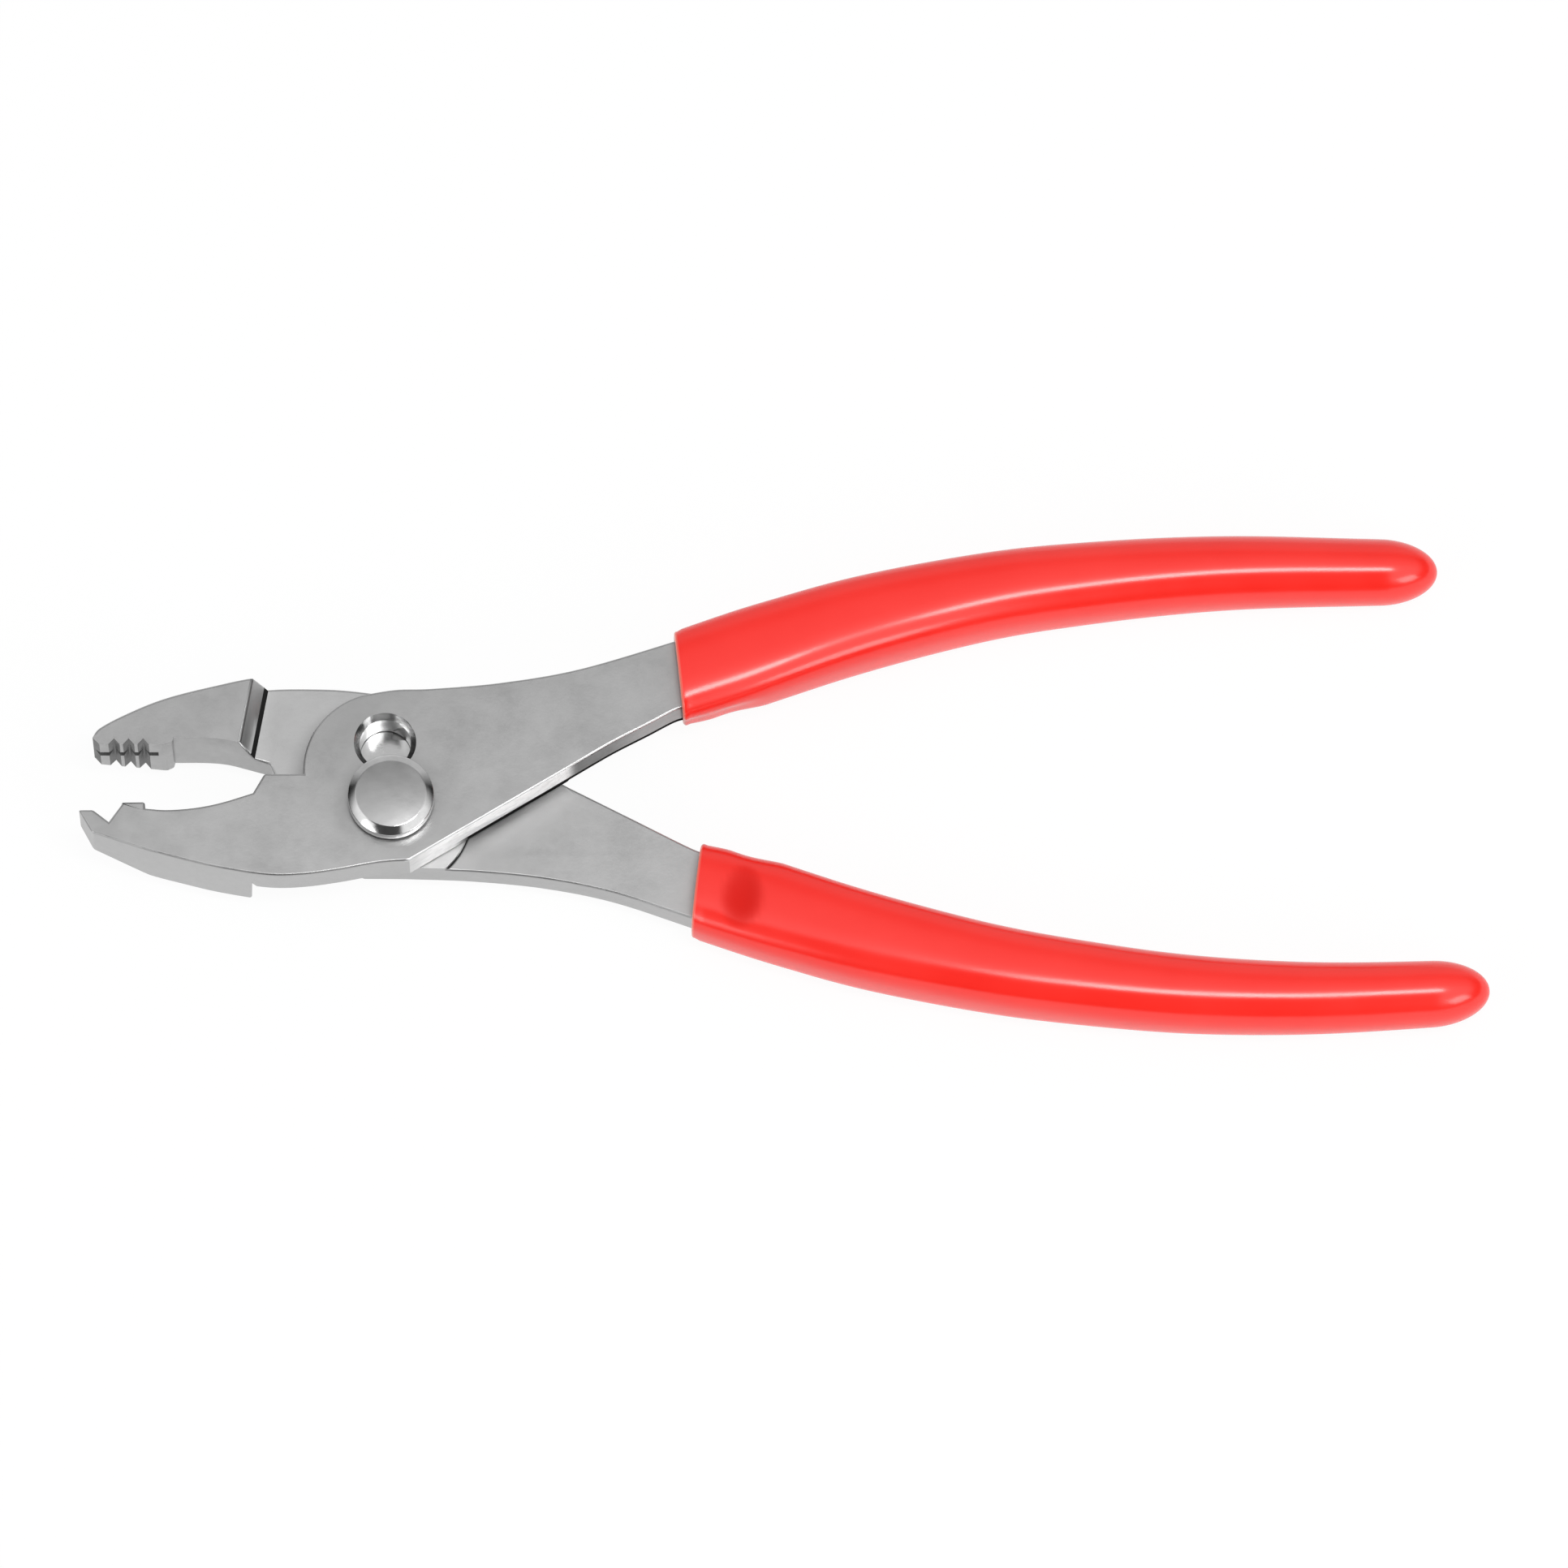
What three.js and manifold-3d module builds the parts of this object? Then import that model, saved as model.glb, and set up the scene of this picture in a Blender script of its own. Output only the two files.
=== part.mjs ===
// Hose clamp pliers with a two-position slip joint, lying flat on the bolt's end and on both grips.
// Millimetres. +X runs from the pivot towards the handles, +Y is the upper handle's side, +Z is up.
// The origin is on the pivot axis, in the plane that the pliers rest on.
// The front lever is the lower jaw and the upper handle, the rear lever is the other two.

import * as THREE from 'three';
import { mergeVertices } from 'three/addons/utils/BufferGeometryUtils.js';
import Module from 'manifold-3d';

const wasm = await Module();
wasm.setup();

// Joint, stacked up from the resting plane
const NUT_HEIGHT = 2.6;
const NUT_ACROSS_FLATS = 12;
const NUT_CHAMFER = 0.6;
const SEAT_CLEARANCE = 0.3;
const LAP_THICKNESS = 5.35;
const LAP_GAP = 0.3;
const HEAD_HEIGHT = 3;
const HEAD_BASE_DIAMETER = 12.4;
const HEAD_TOP_DIAMETER = 10.4;
const HEAD_RIM_HEIGHT = 1.5;

// Bolt and the slot that it shifts in
const SHANK_DIAMETER = 6.8;
const SHANK_ACROSS_FLATS = 4.4;
const BORE_CLEARANCE = 0.3;
const SLOT_SHIFT = 8.95;
const SLOT_LEAN_DEG = 6;
const SLOT_LEAD_IN = 0.8;
const SLOT_LEAD_IN_DEPTH = 0.9;

// Lower jaw, on the front lever
const JAW_REACH = 45;
const TIP_LAND = 2.1;
const LOWER_BITE_Y = -1.4;
const NOSE_HEIGHT = 3.5;
const NOSE_RAKE = 2;
const NOTCH_WIDTH = 4.1;
const NOTCH_DEPTH = 1.8;
const NOTCH_LOW_AT = 2.3;
const PLATEAU_RISE = 1.2;
const PLATEAU_LENGTH = 3.4;
const PLATEAU_ROUND = 0.4;
const PLATEAU_FOOT_RISE = 0.25;
const CROTCH_X = -19.9;
const CROTCH_Y = 1.2;
const LOWER_JAW_DEPTH = 12.2;
const LAP_STEP_X = -20.2;

// Upper jaw, on the rear lever
const UPPER_JAW_SETBACK = 1.9;
const BITE_GAP = 10;
const PAD_LENGTH = 10.4;
const PAD_RELIEF = 1;
const PAD_RUN_OUT = 1.2;
const HOLLOW_FALL = 2;
const UPPER_NOSE_ROUND = 1;
const UPPER_NOSE_HEIGHT = 1;
const UPPER_JAW_DEPTH = 10.4;
const SHOULDER_X = -18.9;
const SHOULDER_LEAN_DEG = 10;
const SHOULDER_SLOPE = 2;
const TOOTH_COUNT = 3;
const TOOTH_PITCH = 2.1;
const TOOTH_DEPTH = 0.9;
const PAD_GROOVE_DEPTH = 0.7;
const PAD_GROOVE_STOP = 1;
const GROOVE_OVERCUT = 0.1;

// Both jaws thin down towards the nose, on their back
const LOWER_NOSE_THICKNESS = 6.6;
const UPPER_NOSE_THICKNESS = 8.2;
const NOSE_TAPER_LENGTH = 10;

// Hubs and the open part of the tangs
const HUB_RADIUS = 11.9;
const HUB_X = -0.8;
const HUB_Y = 4.85;
const FRONT_TOP_Y = 17.1;
const CROTCH_SHELF_X = -18.3;
const CROTCH_SHELF_Y = 4.1;
const HUB_ARC_END_DEG = 108;
const FRONT_HEEL_X = 2.7;
const FRONT_HEEL_Y = -9.2;
const REAR_CREST_X = -11;
const REAR_TOP_Y = 19.2;
const REAR_HEEL_X = -4;
const REAR_HEEL_Y = -8.2;
const REAR_BOSS_RADIUS = 11.4;
const REAR_FACE_RELIEF = 0.8;
const HANDLE_FORK_X = 25.6;
const HANDLE_FORK_Y = 5;
const REAR_FORK_DROP = 0.7;

// Handles: each axis bows out to its full spread, by shares of the spread at places along X
const UPPER_SPREAD = 38.3;
const LOWER_SPREAD = 27.2;
const UPPER_BOW = [[41, 0.502], [54, 0.623], [66, 0.741], [77.5, 0.835], [89, 0.906], [101, 0.949],
  [112.5, 0.979], [124, 0.996], [142, 1]];
const LOWER_BOW = [[43.5, 0.384], [54, 0.513], [66, 0.66], [77.5, 0.772], [89, 0.864], [101, 0.93],
  [112.5, 0.978], [124, 1], [136, 1], [156, 0.963]];

// Grips: both share one section
const UPPER_MOUTH_X = 41.3;
const LOWER_MOUTH_X = 43.9;
const UPPER_GRIP_LENGTH = 110.1;
const LOWER_GRIP_LENGTH = 114.2;
const MOUTH_SLANT_DEG = 6;
const GRIP_MOUTH_WIDTH = 13.8;
const GRIP_PALM_WIDTH = 14.6;
const GRIP_PALM_AT = 12;
const GRIP_WAIST_WIDTH = 12.1;
const GRIP_WAIST_AT = 47;
const GRIP_TIP_WIDTH = 9;
const GRIP_MOUTH_THICKNESS = 10;
const GRIP_THICKNESS = 12.4;
const GRIP_THICKEST_AT = 36;
const GRIP_TIP_THICKNESS = 10.2;
const GRIP_END_ROUND = 8.3;
const GRIP_SQUARENESS = 2.5;
const GRIP_SIDE_WALL = 1.5;
const GRIP_END_WALL = 8;
const GRIP_CLEARANCE = 0.3;
const TANG_JOIN = 4;
const TANG_LEAD = 0.6;
const TANG_BEND_LENGTH = 40;
const TANG_CORNER = 1.2;
const POCKET_CORNER = 0.25;

// Levels and places that follow from those sizes
const REAR_BACK_Z = NUT_HEIGHT + SEAT_CLEARANCE;
const REAR_FACE_Z = REAR_BACK_Z + LAP_THICKNESS;
const FRONT_BACK_Z = REAR_FACE_Z + LAP_GAP;
const FRONT_FACE_Z = FRONT_BACK_Z + LAP_THICKNESS;
const HEAD_SEAT_Z = FRONT_FACE_Z + SEAT_CLEARANCE;
const JOINT_THICKNESS = FRONT_FACE_Z - REAR_BACK_Z;
const BORE_RADIUS = SHANK_DIAMETER / 2 + BORE_CLEARANCE;
const SLOT_LEAN = THREE.MathUtils.degToRad(SLOT_LEAN_DEG);
const UPPER_BITE_Y = LOWER_BITE_Y + BITE_GAP;
const UPPER_NOSE_X = UPPER_JAW_SETBACK - JAW_REACH;
const CUT_MARGIN = 5;
const CURVE_SEGMENTS = 8;
const ROUND_SEGMENTS = 48;

const STEEL = new THREE.MeshStandardMaterial({ color: 0xacacac, roughness: 0.42, metalness: 1 });
const BRIGHT_STEEL = new THREE.MeshStandardMaterial({ color: 0xc4c4c4, roughness: 0.2, metalness: 1 });
const RED_VINYL = new THREE.MeshStandardMaterial({ color: 0xf53a32, roughness: 0.4, metalness: 0 });

// Solids from three.js shapes, and back

function toSolid(geometry) {
  const bare = geometry.clone();
  bare.deleteAttribute('normal');
  bare.deleteAttribute('uv');
  const merged = mergeVertices(bare);
  const vertProperties = new Float32Array(merged.getAttribute('position').array);
  const triVerts = new Uint32Array(merged.getIndex().array);
  return new wasm.Manifold(new wasm.Mesh({ numProp: 3, vertProperties, triVerts }));
}

function toMesh(solid, name, material) {
  const { vertProperties, triVerts } = solid.getMesh();
  const geometry = new THREE.BufferGeometry();
  geometry.setAttribute('position', new THREE.BufferAttribute(vertProperties, 3));
  geometry.setIndex(new THREE.BufferAttribute(triVerts, 1));
  geometry.computeVertexNormals();
  const mesh = new THREE.Mesh(geometry, material);
  mesh.name = name;
  return mesh;
}

// A plan outline raised from one level to another
function slab(shape, low, high) {
  const options = { depth: high - low, bevelEnabled: false, curveSegments: CURVE_SEGMENTS };
  return toSolid(new THREE.ExtrudeGeometry(shape, options).translate(0, 0, low));
}

// A profile drawn in X and Z, running right through along Y
function crossBar(points, reach) {
  const shape = new THREE.Shape(points.map(([x, z]) => new THREE.Vector2(x, z)));
  const geometry = new THREE.ExtrudeGeometry(shape, { depth: 2 * reach, bevelEnabled: false });
  return toSolid(geometry.rotateX(Math.PI / 2).translate(0, reach, 0));
}

// A body of revolution about a vertical axis, from radius and height pairs
function turned(points) {
  const profile = points.map(([radius, height]) => new THREE.Vector2(radius, height));
  return toSolid(new THREE.LatheGeometry(profile, ROUND_SEGMENTS).rotateX(Math.PI / 2));
}

// A closed skin over rings of equal count that stand across X
function loft(rings) {
  const count = rings[0].length;
  const last = (rings.length - 1) * count;
  const index = [];
  for (let base = 0; base < last; base += count) {
    for (let i = 0; i < count; i += 1) {
      const a = base + i;
      const b = base + ((i + 1) % count);
      index.push(a, b, a + count, b, b + count, a + count);
    }
  }
  for (let i = 1; i + 1 < count; i += 1) {
    index.push(0, i + 1, i, last, last + i, last + i + 1);
  }
  const geometry = new THREE.BufferGeometry();
  geometry.setAttribute('position', new THREE.Float32BufferAttribute(rings.flat(2), 3));
  geometry.setIndex(index);
  return toSolid(geometry);
}

// A smooth value along X through a few places, straight on past both ends
function along(places) {
  const slope = (i, j) => (places[j][1] - places[i][1]) / (places[j][0] - places[i][0]);
  const end = places.length - 1;
  const tangent = (i) => slope(Math.max(i - 1, 0), Math.min(i + 1, end));
  return (x) => {
    if (x <= places[0][0]) return places[0][1] + tangent(0) * (x - places[0][0]);
    if (x >= places[end][0]) return places[end][1] + tangent(end) * (x - places[end][0]);
    const i = places.findIndex((place) => place[0] > x) - 1;
    const span = places[i + 1][0] - places[i][0];
    const t = (x - places[i][0]) / span;
    const rise = places[i + 1][1] - places[i][1];
    const ease = t * t * (3 - 2 * t);
    const swing = tangent(i) * t * (1 - t) * (1 - t) - tangent(i + 1) * t * t * (1 - t);
    return places[i][1] + rise * ease + span * swing;
  };
}

const mix = THREE.MathUtils.lerp;
const points2 = (pairs) => pairs.map(([x, y]) => new THREE.Vector2(x, y));

// Places between two corners, each a share of the way along X and a share of the way along Y
function between([fromX, fromY], [toX, toY], shares) {
  return shares.map(([alongX, alongY]) => [mix(fromX, toX, alongX), mix(fromY, toY, alongY)]);
}

// One handle: its axis, its grip's section and its tang's section, all as values along X

function makeHandle(bow, spread, mouthX, gripLength, layerZ, slantSign) {
  const tipX = mouthX + gripLength;
  const joinX = mouthX + TANG_JOIN;
  const axis = along(bow.map(([x, share]) => [x, share * spread]));
  const width = along([[mouthX, GRIP_MOUTH_WIDTH], [mouthX + GRIP_PALM_AT, GRIP_PALM_WIDTH],
    [mouthX + GRIP_WAIST_AT, GRIP_WAIST_WIDTH], [tipX, GRIP_TIP_WIDTH]]);
  const thickness = along([[mouthX, GRIP_MOUTH_THICKNESS], [mouthX + GRIP_THICKEST_AT, GRIP_THICKNESS],
    [tipX, GRIP_TIP_THICKNESS]]);
  const lift = layerZ - GRIP_MOUTH_THICKNESS / 2;
  const middle = (x) => {
    const bend = THREE.MathUtils.smoothstep(x, joinX, joinX + TANG_BEND_LENGTH);
    return thickness(x) / 2 + lift * (1 - bend);
  };
  const tangHalfWidth = (x) => width(x) / 2 - GRIP_SIDE_WALL;
  const tangHalfThickness = (x) => (LAP_THICKNESS + thickness(x) - GRIP_MOUTH_THICKNESS) / 2;
  return { tipX, joinX, mouthX, slantSign, axis, width, thickness, middle, tangHalfWidth, tangHalfThickness };
}

const FRONT_MID_Z = (FRONT_BACK_Z + FRONT_FACE_Z) / 2;
const REAR_MID_Z = (REAR_BACK_Z + REAR_FACE_Z) / 2;
const UPPER = makeHandle(UPPER_BOW, UPPER_SPREAD, UPPER_MOUTH_X, UPPER_GRIP_LENGTH, FRONT_MID_Z, 1);
const LOWER = makeHandle(LOWER_BOW, -LOWER_SPREAD, LOWER_MOUTH_X, LOWER_GRIP_LENGTH, REAR_MID_Z, -1);

// A section ring with softly squared sides
function ovalRing(x, y, z, halfWidth, halfThickness, count = 24) {
  const power = 2 / GRIP_SQUARENESS;
  const bulge = (value) => Math.sign(value) * Math.abs(value) ** power;
  return Array.from({ length: count }, (_, i) => {
    const turn = (2 * Math.PI * i) / count;
    return [x, y + halfWidth * bulge(Math.cos(turn)), z + halfThickness * bulge(Math.sin(turn))];
  });
}

// A section ring with straight sides and rounded corners
function barRing(x, y, z, halfWidth, halfThickness, corner, steps = 3) {
  const ring = [];
  for (let quarter = 0; quarter < 4; quarter += 1) {
    const sideY = quarter === 0 || quarter === 3 ? 1 : -1;
    const sideZ = quarter < 2 ? 1 : -1;
    for (let i = 0; i <= steps; i += 1) {
      const turn = ((quarter + i / steps) * Math.PI) / 2;
      ring.push([x, y + sideY * (halfWidth - corner) + corner * Math.cos(turn),
        z + sideZ * (halfThickness - corner) + corner * Math.sin(turn)]);
    }
  }
  return ring;
}

// The steel bar inside a grip, or the pocket that it fills when it is grown by a clearance
function tangBar(handle, fromX, toX, growth, corner, count = 20) {
  const rings = [];
  for (let i = 0; i <= count; i += 1) {
    const x = mix(fromX, toX, i / count);
    const halfWidth = handle.tangHalfWidth(x) + growth;
    const halfThickness = handle.tangHalfThickness(x) + growth;
    rings.push(barRing(x, handle.axis(x), handle.middle(x), halfWidth, halfThickness, corner));
  }
  return loft(rings);
}

// Where an open tang runs into its grip, its edges are the ones that the pocket fits
function tangEdge(handle, side) {
  const start = handle.mouthX - TANG_LEAD;
  const stop = handle.joinX;
  return [start, (start + stop) / 2, stop].map((x) => [x, handle.axis(x) + side * handle.tangHalfWidth(x)]);
}

// Front lever

function frontOutline() {
  const tip = -JAW_REACH;
  const notch = tip + TIP_LAND;
  const plateau = notch + NOTCH_WIDTH;
  const hollow = plateau + PLATEAU_LENGTH;
  const plateauY = LOWER_BITE_Y + PLATEAU_RISE;
  const hubArcStart = Math.PI - Math.asin((CROTCH_SHELF_Y - HUB_Y) / HUB_RADIUS);
  const hubArcEnd = THREE.MathUtils.degToRad(HUB_ARC_END_DEG);
  const upperEdge = tangEdge(UPPER, 1);
  const lowerEdge = tangEdge(UPPER, -1);
  const crotch = [CROTCH_X, CROTCH_Y];
  const hubTop = [HUB_X, FRONT_TOP_Y];
  const fork = [HANDLE_FORK_X, HANDLE_FORK_Y];
  const heel = [FRONT_HEEL_X, FRONT_HEEL_Y];
  const belly = [LAP_STEP_X, CROTCH_Y - LOWER_JAW_DEPTH];
  const chin = [tip + NOSE_RAKE, LOWER_BITE_Y - NOSE_HEIGHT];
  const shape = new THREE.Shape();
  shape.moveTo(tip, LOWER_BITE_Y);
  shape.lineTo(notch, LOWER_BITE_Y);
  shape.lineTo(notch + NOTCH_LOW_AT, LOWER_BITE_Y - NOTCH_DEPTH);
  shape.lineTo(plateau, plateauY - PLATEAU_ROUND);
  shape.quadraticCurveTo(plateau, plateauY, plateau + PLATEAU_ROUND, plateauY);
  shape.lineTo(hollow, plateauY);
  shape.lineTo(hollow, LOWER_BITE_Y + PLATEAU_FOOT_RISE);
  shape.splineThru(points2([...between([hollow, LOWER_BITE_Y], crotch,
    [[0.2, 0], [0.47, 0.13], [0.72, 0.45]]), crotch]));
  shape.lineTo(CROTCH_SHELF_X, CROTCH_SHELF_Y);
  shape.absarc(HUB_X, HUB_Y, HUB_RADIUS, hubArcStart, hubArcEnd, true);
  shape.splineThru(points2([...between(hubTop, upperEdge[0],
    [[0.03, -0.01], [0.16, 0.015], [0.4, 0.14], [0.67, 0.42]]), ...upperEdge]));
  shape.lineTo(...lowerEdge[2]);
  shape.splineThru(points2([lowerEdge[1], lowerEdge[0],
    ...between(lowerEdge[0], fork, [[0.25, 0.24], [0.6, 0.57]]), fork]));
  shape.lineTo(...heel);
  shape.splineThru(points2([...between(heel, belly, [[0.2, 0.2], [0.44, 0.78], [0.68, 1.2], [0.9, 1.22]]),
    ...between(belly, chin, [[0.2, 0.12], [0.42, 0.32], [0.67, 0.58]]), chin]));
  shape.closePath();
  return shape;
}

// The two lobes and the neck of the slip slot, with a lead-in round the front edge
function slotCutter() {
  const low = FRONT_BACK_Z - CUT_MARGIN;
  const wide = BORE_RADIUS + SLOT_LEAD_IN;
  const lobe = turned([[0, low], [BORE_RADIUS, low], [BORE_RADIUS, FRONT_FACE_Z - SLOT_LEAD_IN_DEPTH],
    [wide, FRONT_FACE_Z], [wide, FRONT_FACE_Z + CUT_MARGIN], [0, FRONT_FACE_Z + CUT_MARGIN]]);
  const neckWidth = SHANK_ACROSS_FLATS + 2 * BORE_CLEARANCE;
  const neck = new THREE.BoxGeometry(neckWidth, SLOT_SHIFT, 2 * (LAP_THICKNESS + CUT_MARGIN));
  neck.translate(0, SLOT_SHIFT / 2, FRONT_FACE_Z);
  neck.rotateZ(SLOT_LEAN);
  const upperLobe = lobe.translate([-SLOT_SHIFT * Math.sin(SLOT_LEAN), SLOT_SHIFT * Math.cos(SLOT_LEAN), 0]);
  return lobe.add(upperLobe).add(toSolid(neck));
}

// The wedge that thins a jaw down on its back towards its nose
function noseWedge(noseX, noseThickness) {
  const rise = JOINT_THICKNESS - noseThickness;
  const slope = rise / NOSE_TAPER_LENGTH;
  const out = noseX - CUT_MARGIN;
  const high = REAR_BACK_Z + rise + slope * CUT_MARGIN;
  const low = REAR_BACK_Z - CUT_MARGIN;
  return crossBar([[noseX + NOSE_TAPER_LENGTH, REAR_BACK_Z], [out, high], [out, low],
    [noseX + NOSE_TAPER_LENGTH, low]], JAW_REACH);
}

function makeFrontLever() {
  const far = UPPER.tipX;
  const lap = crossBar([[LAP_STEP_X, REAR_BACK_Z - CUT_MARGIN], [far, REAR_BACK_Z - CUT_MARGIN],
    [far, FRONT_BACK_Z], [LAP_STEP_X, FRONT_BACK_Z]], far);
  const tang = tangBar(UPPER, UPPER.joinX - TANG_JOIN / 2, UPPER.tipX - GRIP_END_WALL, 0, TANG_CORNER);
  const solid = slab(frontOutline(), REAR_BACK_Z, FRONT_FACE_Z)
    .subtract(lap)
    .subtract(noseWedge(-JAW_REACH, LOWER_NOSE_THICKNESS))
    .subtract(slotCutter())
    .add(tang);
  return toMesh(solid, 'front_lever', STEEL);
}

// Rear lever

function rearOutline() {
  const nose = [UPPER_NOSE_X, UPPER_BITE_Y + UPPER_NOSE_HEIGHT];
  const padEnd = UPPER_NOSE_X + PAD_LENGTH;
  const hollow = [padEnd + PAD_RUN_OUT, UPPER_BITE_Y + PAD_RELIEF];
  const crotch = [SHOULDER_X + PAD_RUN_OUT, UPPER_BITE_Y + PAD_RELIEF - HOLLOW_FALL];
  const upperEdge = tangEdge(LOWER, 1);
  const lowerEdge = tangEdge(LOWER, -1);
  const heel = [REAR_HEEL_X, REAR_HEEL_Y];
  const fork = [HANDLE_FORK_X, HANDLE_FORK_Y - REAR_FORK_DROP];
  const crest = [REAR_CREST_X, REAR_TOP_Y];
  const brow = [SHOULDER_X, UPPER_BITE_Y + UPPER_JAW_DEPTH];
  const shape = new THREE.Shape();
  shape.moveTo(UPPER_NOSE_X + UPPER_NOSE_ROUND, UPPER_BITE_Y);
  shape.lineTo(padEnd, UPPER_BITE_Y);
  shape.quadraticCurveTo(hollow[0], UPPER_BITE_Y, ...hollow);
  shape.splineThru(points2([...between(hollow, crotch,
    [[0.32, 0], [0.55, 0.15], [0.77, 0.55]]), crotch]));
  shape.splineThru(points2([...between(crotch, heel, [[0.1, 0.19], [0.32, 0.55], [0.63, 0.87]]), heel]));
  shape.splineThru(points2([...between(heel, lowerEdge[0],
    [[0.15, 0.01], [0.34, 0.06], [0.55, 0.2], [0.76, 0.48]]), ...lowerEdge]));
  shape.lineTo(...upperEdge[2]);
  shape.splineThru(points2([upperEdge[1], upperEdge[0],
    ...between(upperEdge[0], fork, [[0.5, 0.5]]), fork]));
  const back = between(fork, crest, [[0.536, 0.772], [0.645, 0.893], [0.836, 0.973]]);
  shape.lineTo(...back[0]);
  shape.splineThru(points2([back[1], back[2], crest, brow,
    ...between(brow, nose, [[0.3, 0.16], [0.58, 0.36], [0.8, 0.605], [0.96, 0.84]]), nose]));
  shape.closePath();
  return shape;
}

// Everything in front of the half-lap, right of the jaw's leaning and sloping shoulder
function shoulderCutter() {
  const far = LOWER.tipX;
  const high = FRONT_FACE_Z + CUT_MARGIN;
  const headX = (-SHOULDER_SLOPE * (high - REAR_FACE_Z)) / (FRONT_FACE_Z - REAR_FACE_Z);
  const profile = [[0, REAR_FACE_Z], [far, REAR_FACE_Z], [far, high], [headX, high]];
  return crossBar(profile, far)
    .rotate([0, 0, -SHOULDER_LEAN_DEG])
    .translate([SHOULDER_X, (UPPER_BITE_Y + REAR_TOP_Y) / 2, 0]);
}

// The tang's face lies a little lower than the round boss that bears on the front lever
function faceRelief() {
  const shape = new THREE.Shape(points2([[0, -REAR_TOP_Y], [LOWER.joinX, -REAR_TOP_Y],
    [LOWER.joinX, REAR_TOP_Y], [0, REAR_TOP_Y]]));
  const low = REAR_FACE_Z - REAR_FACE_RELIEF;
  const high = REAR_FACE_Z + CUT_MARGIN;
  const foot = REAR_BACK_Z;
  const boss = turned([[0, foot], [REAR_BOSS_RADIUS, foot], [REAR_BOSS_RADIUS, high], [0, high]]);
  return slab(shape, low, high).subtract(boss);
}

// Cross-cut grooves in the gripping pad: a row across the jaw and one along it
function padTeeth() {
  const depth = TOOTH_DEPTH;
  const low = REAR_BACK_Z - CUT_MARGIN;
  const high = FRONT_FACE_Z + CUT_MARGIN;
  const first = UPPER_NOSE_X + PAD_LENGTH / 2 - ((TOOTH_COUNT - 1) / 2) * TOOTH_PITCH;
  const length = PAD_LENGTH - PAD_GROOVE_STOP;
  const side = PAD_GROOVE_DEPTH * Math.SQRT2;
  const lengthways = new THREE.BoxGeometry(length, side, side);
  lengthways.rotateX(Math.PI / 4);
  lengthways.translate(UPPER_NOSE_X + length / 2, UPPER_BITE_Y, FRONT_FACE_Z - UPPER_NOSE_THICKNESS / 2);
  let teeth = toSolid(lengthways);
  for (let i = 0; i < TOOTH_COUNT; i += 1) {
    const x = first + i * TOOTH_PITCH;
    const groove = new THREE.Shape(points2([[x - depth, UPPER_BITE_Y - GROOVE_OVERCUT],
      [x + depth, UPPER_BITE_Y - GROOVE_OVERCUT], [x, UPPER_BITE_Y + depth]]));
    teeth = teeth.add(slab(groove, low, high));
  }
  return teeth;
}

function makeRearLever() {
  const low = REAR_BACK_Z - CUT_MARGIN;
  const bore = turned([[0, low], [BORE_RADIUS, low], [BORE_RADIUS, FRONT_FACE_Z], [0, FRONT_FACE_Z]]);
  const tang = tangBar(LOWER, LOWER.joinX - TANG_JOIN / 2, LOWER.tipX - GRIP_END_WALL, 0, TANG_CORNER);
  const solid = slab(rearOutline(), REAR_BACK_Z, FRONT_FACE_Z)
    .subtract(shoulderCutter())
    .subtract(noseWedge(UPPER_NOSE_X, UPPER_NOSE_THICKNESS))
    .subtract(padTeeth())
    .subtract(bore)
    .add(tang)
    .subtract(faceRelief());
  return toMesh(solid, 'rear_lever', STEEL);
}

// Pivot bolt: round bevelled head, a neck with two flats in the slot, and a round shank

function makePivotBolt() {
  const shank = SHANK_DIAMETER / 2;
  const base = HEAD_BASE_DIAMETER / 2;
  const solid = turned([[0, 0], [shank, 0], [shank, HEAD_SEAT_Z], [base, HEAD_SEAT_Z],
    [base, HEAD_SEAT_Z + HEAD_RIM_HEIGHT], [HEAD_TOP_DIAMETER / 2, HEAD_SEAT_Z + HEAD_HEIGHT],
    [0, HEAD_SEAT_Z + HEAD_HEIGHT]]);
  const flatDepth = HEAD_SEAT_Z - FRONT_BACK_Z + LAP_GAP / 2;
  const cut = new THREE.BoxGeometry(shank, SHANK_DIAMETER * 2, flatDepth);
  cut.translate(SHANK_ACROSS_FLATS / 2 + shank / 2, 0, HEAD_SEAT_Z - flatDepth / 2);
  cut.rotateZ(SLOT_LEAN);
  const flat = toSolid(cut);
  return toMesh(solid.subtract(flat).subtract(flat.rotate([0, 0, 180])), 'pivot_bolt', BRIGHT_STEEL);
}

// Pivot nut: a plain hexagon with its corners turned off on the back

function makePivotNut() {
  const corner = NUT_ACROSS_FLATS / Math.sqrt(3);
  const hexagon = new THREE.CylinderGeometry(corner, corner, NUT_HEIGHT, 6).rotateX(Math.PI / 2);
  const turning = turned([[0, 0], [NUT_ACROSS_FLATS / 2, 0], [corner, NUT_CHAMFER], [corner, NUT_HEIGHT],
    [0, NUT_HEIGHT]]);
  const bore = turned([[0, -CUT_MARGIN], [BORE_RADIUS, -CUT_MARGIN], [BORE_RADIUS, 2 * NUT_HEIGHT],
    [0, 2 * NUT_HEIGHT]]);
  const solid = toSolid(hexagon.translate(0, 0, NUT_HEIGHT / 2)).intersect(turning).subtract(bore);
  return toMesh(solid, 'pivot_nut', BRIGHT_STEEL);
}

// Dipped grips: an oval sleeve with a round closed end, open at the mouth, over its tang

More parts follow.
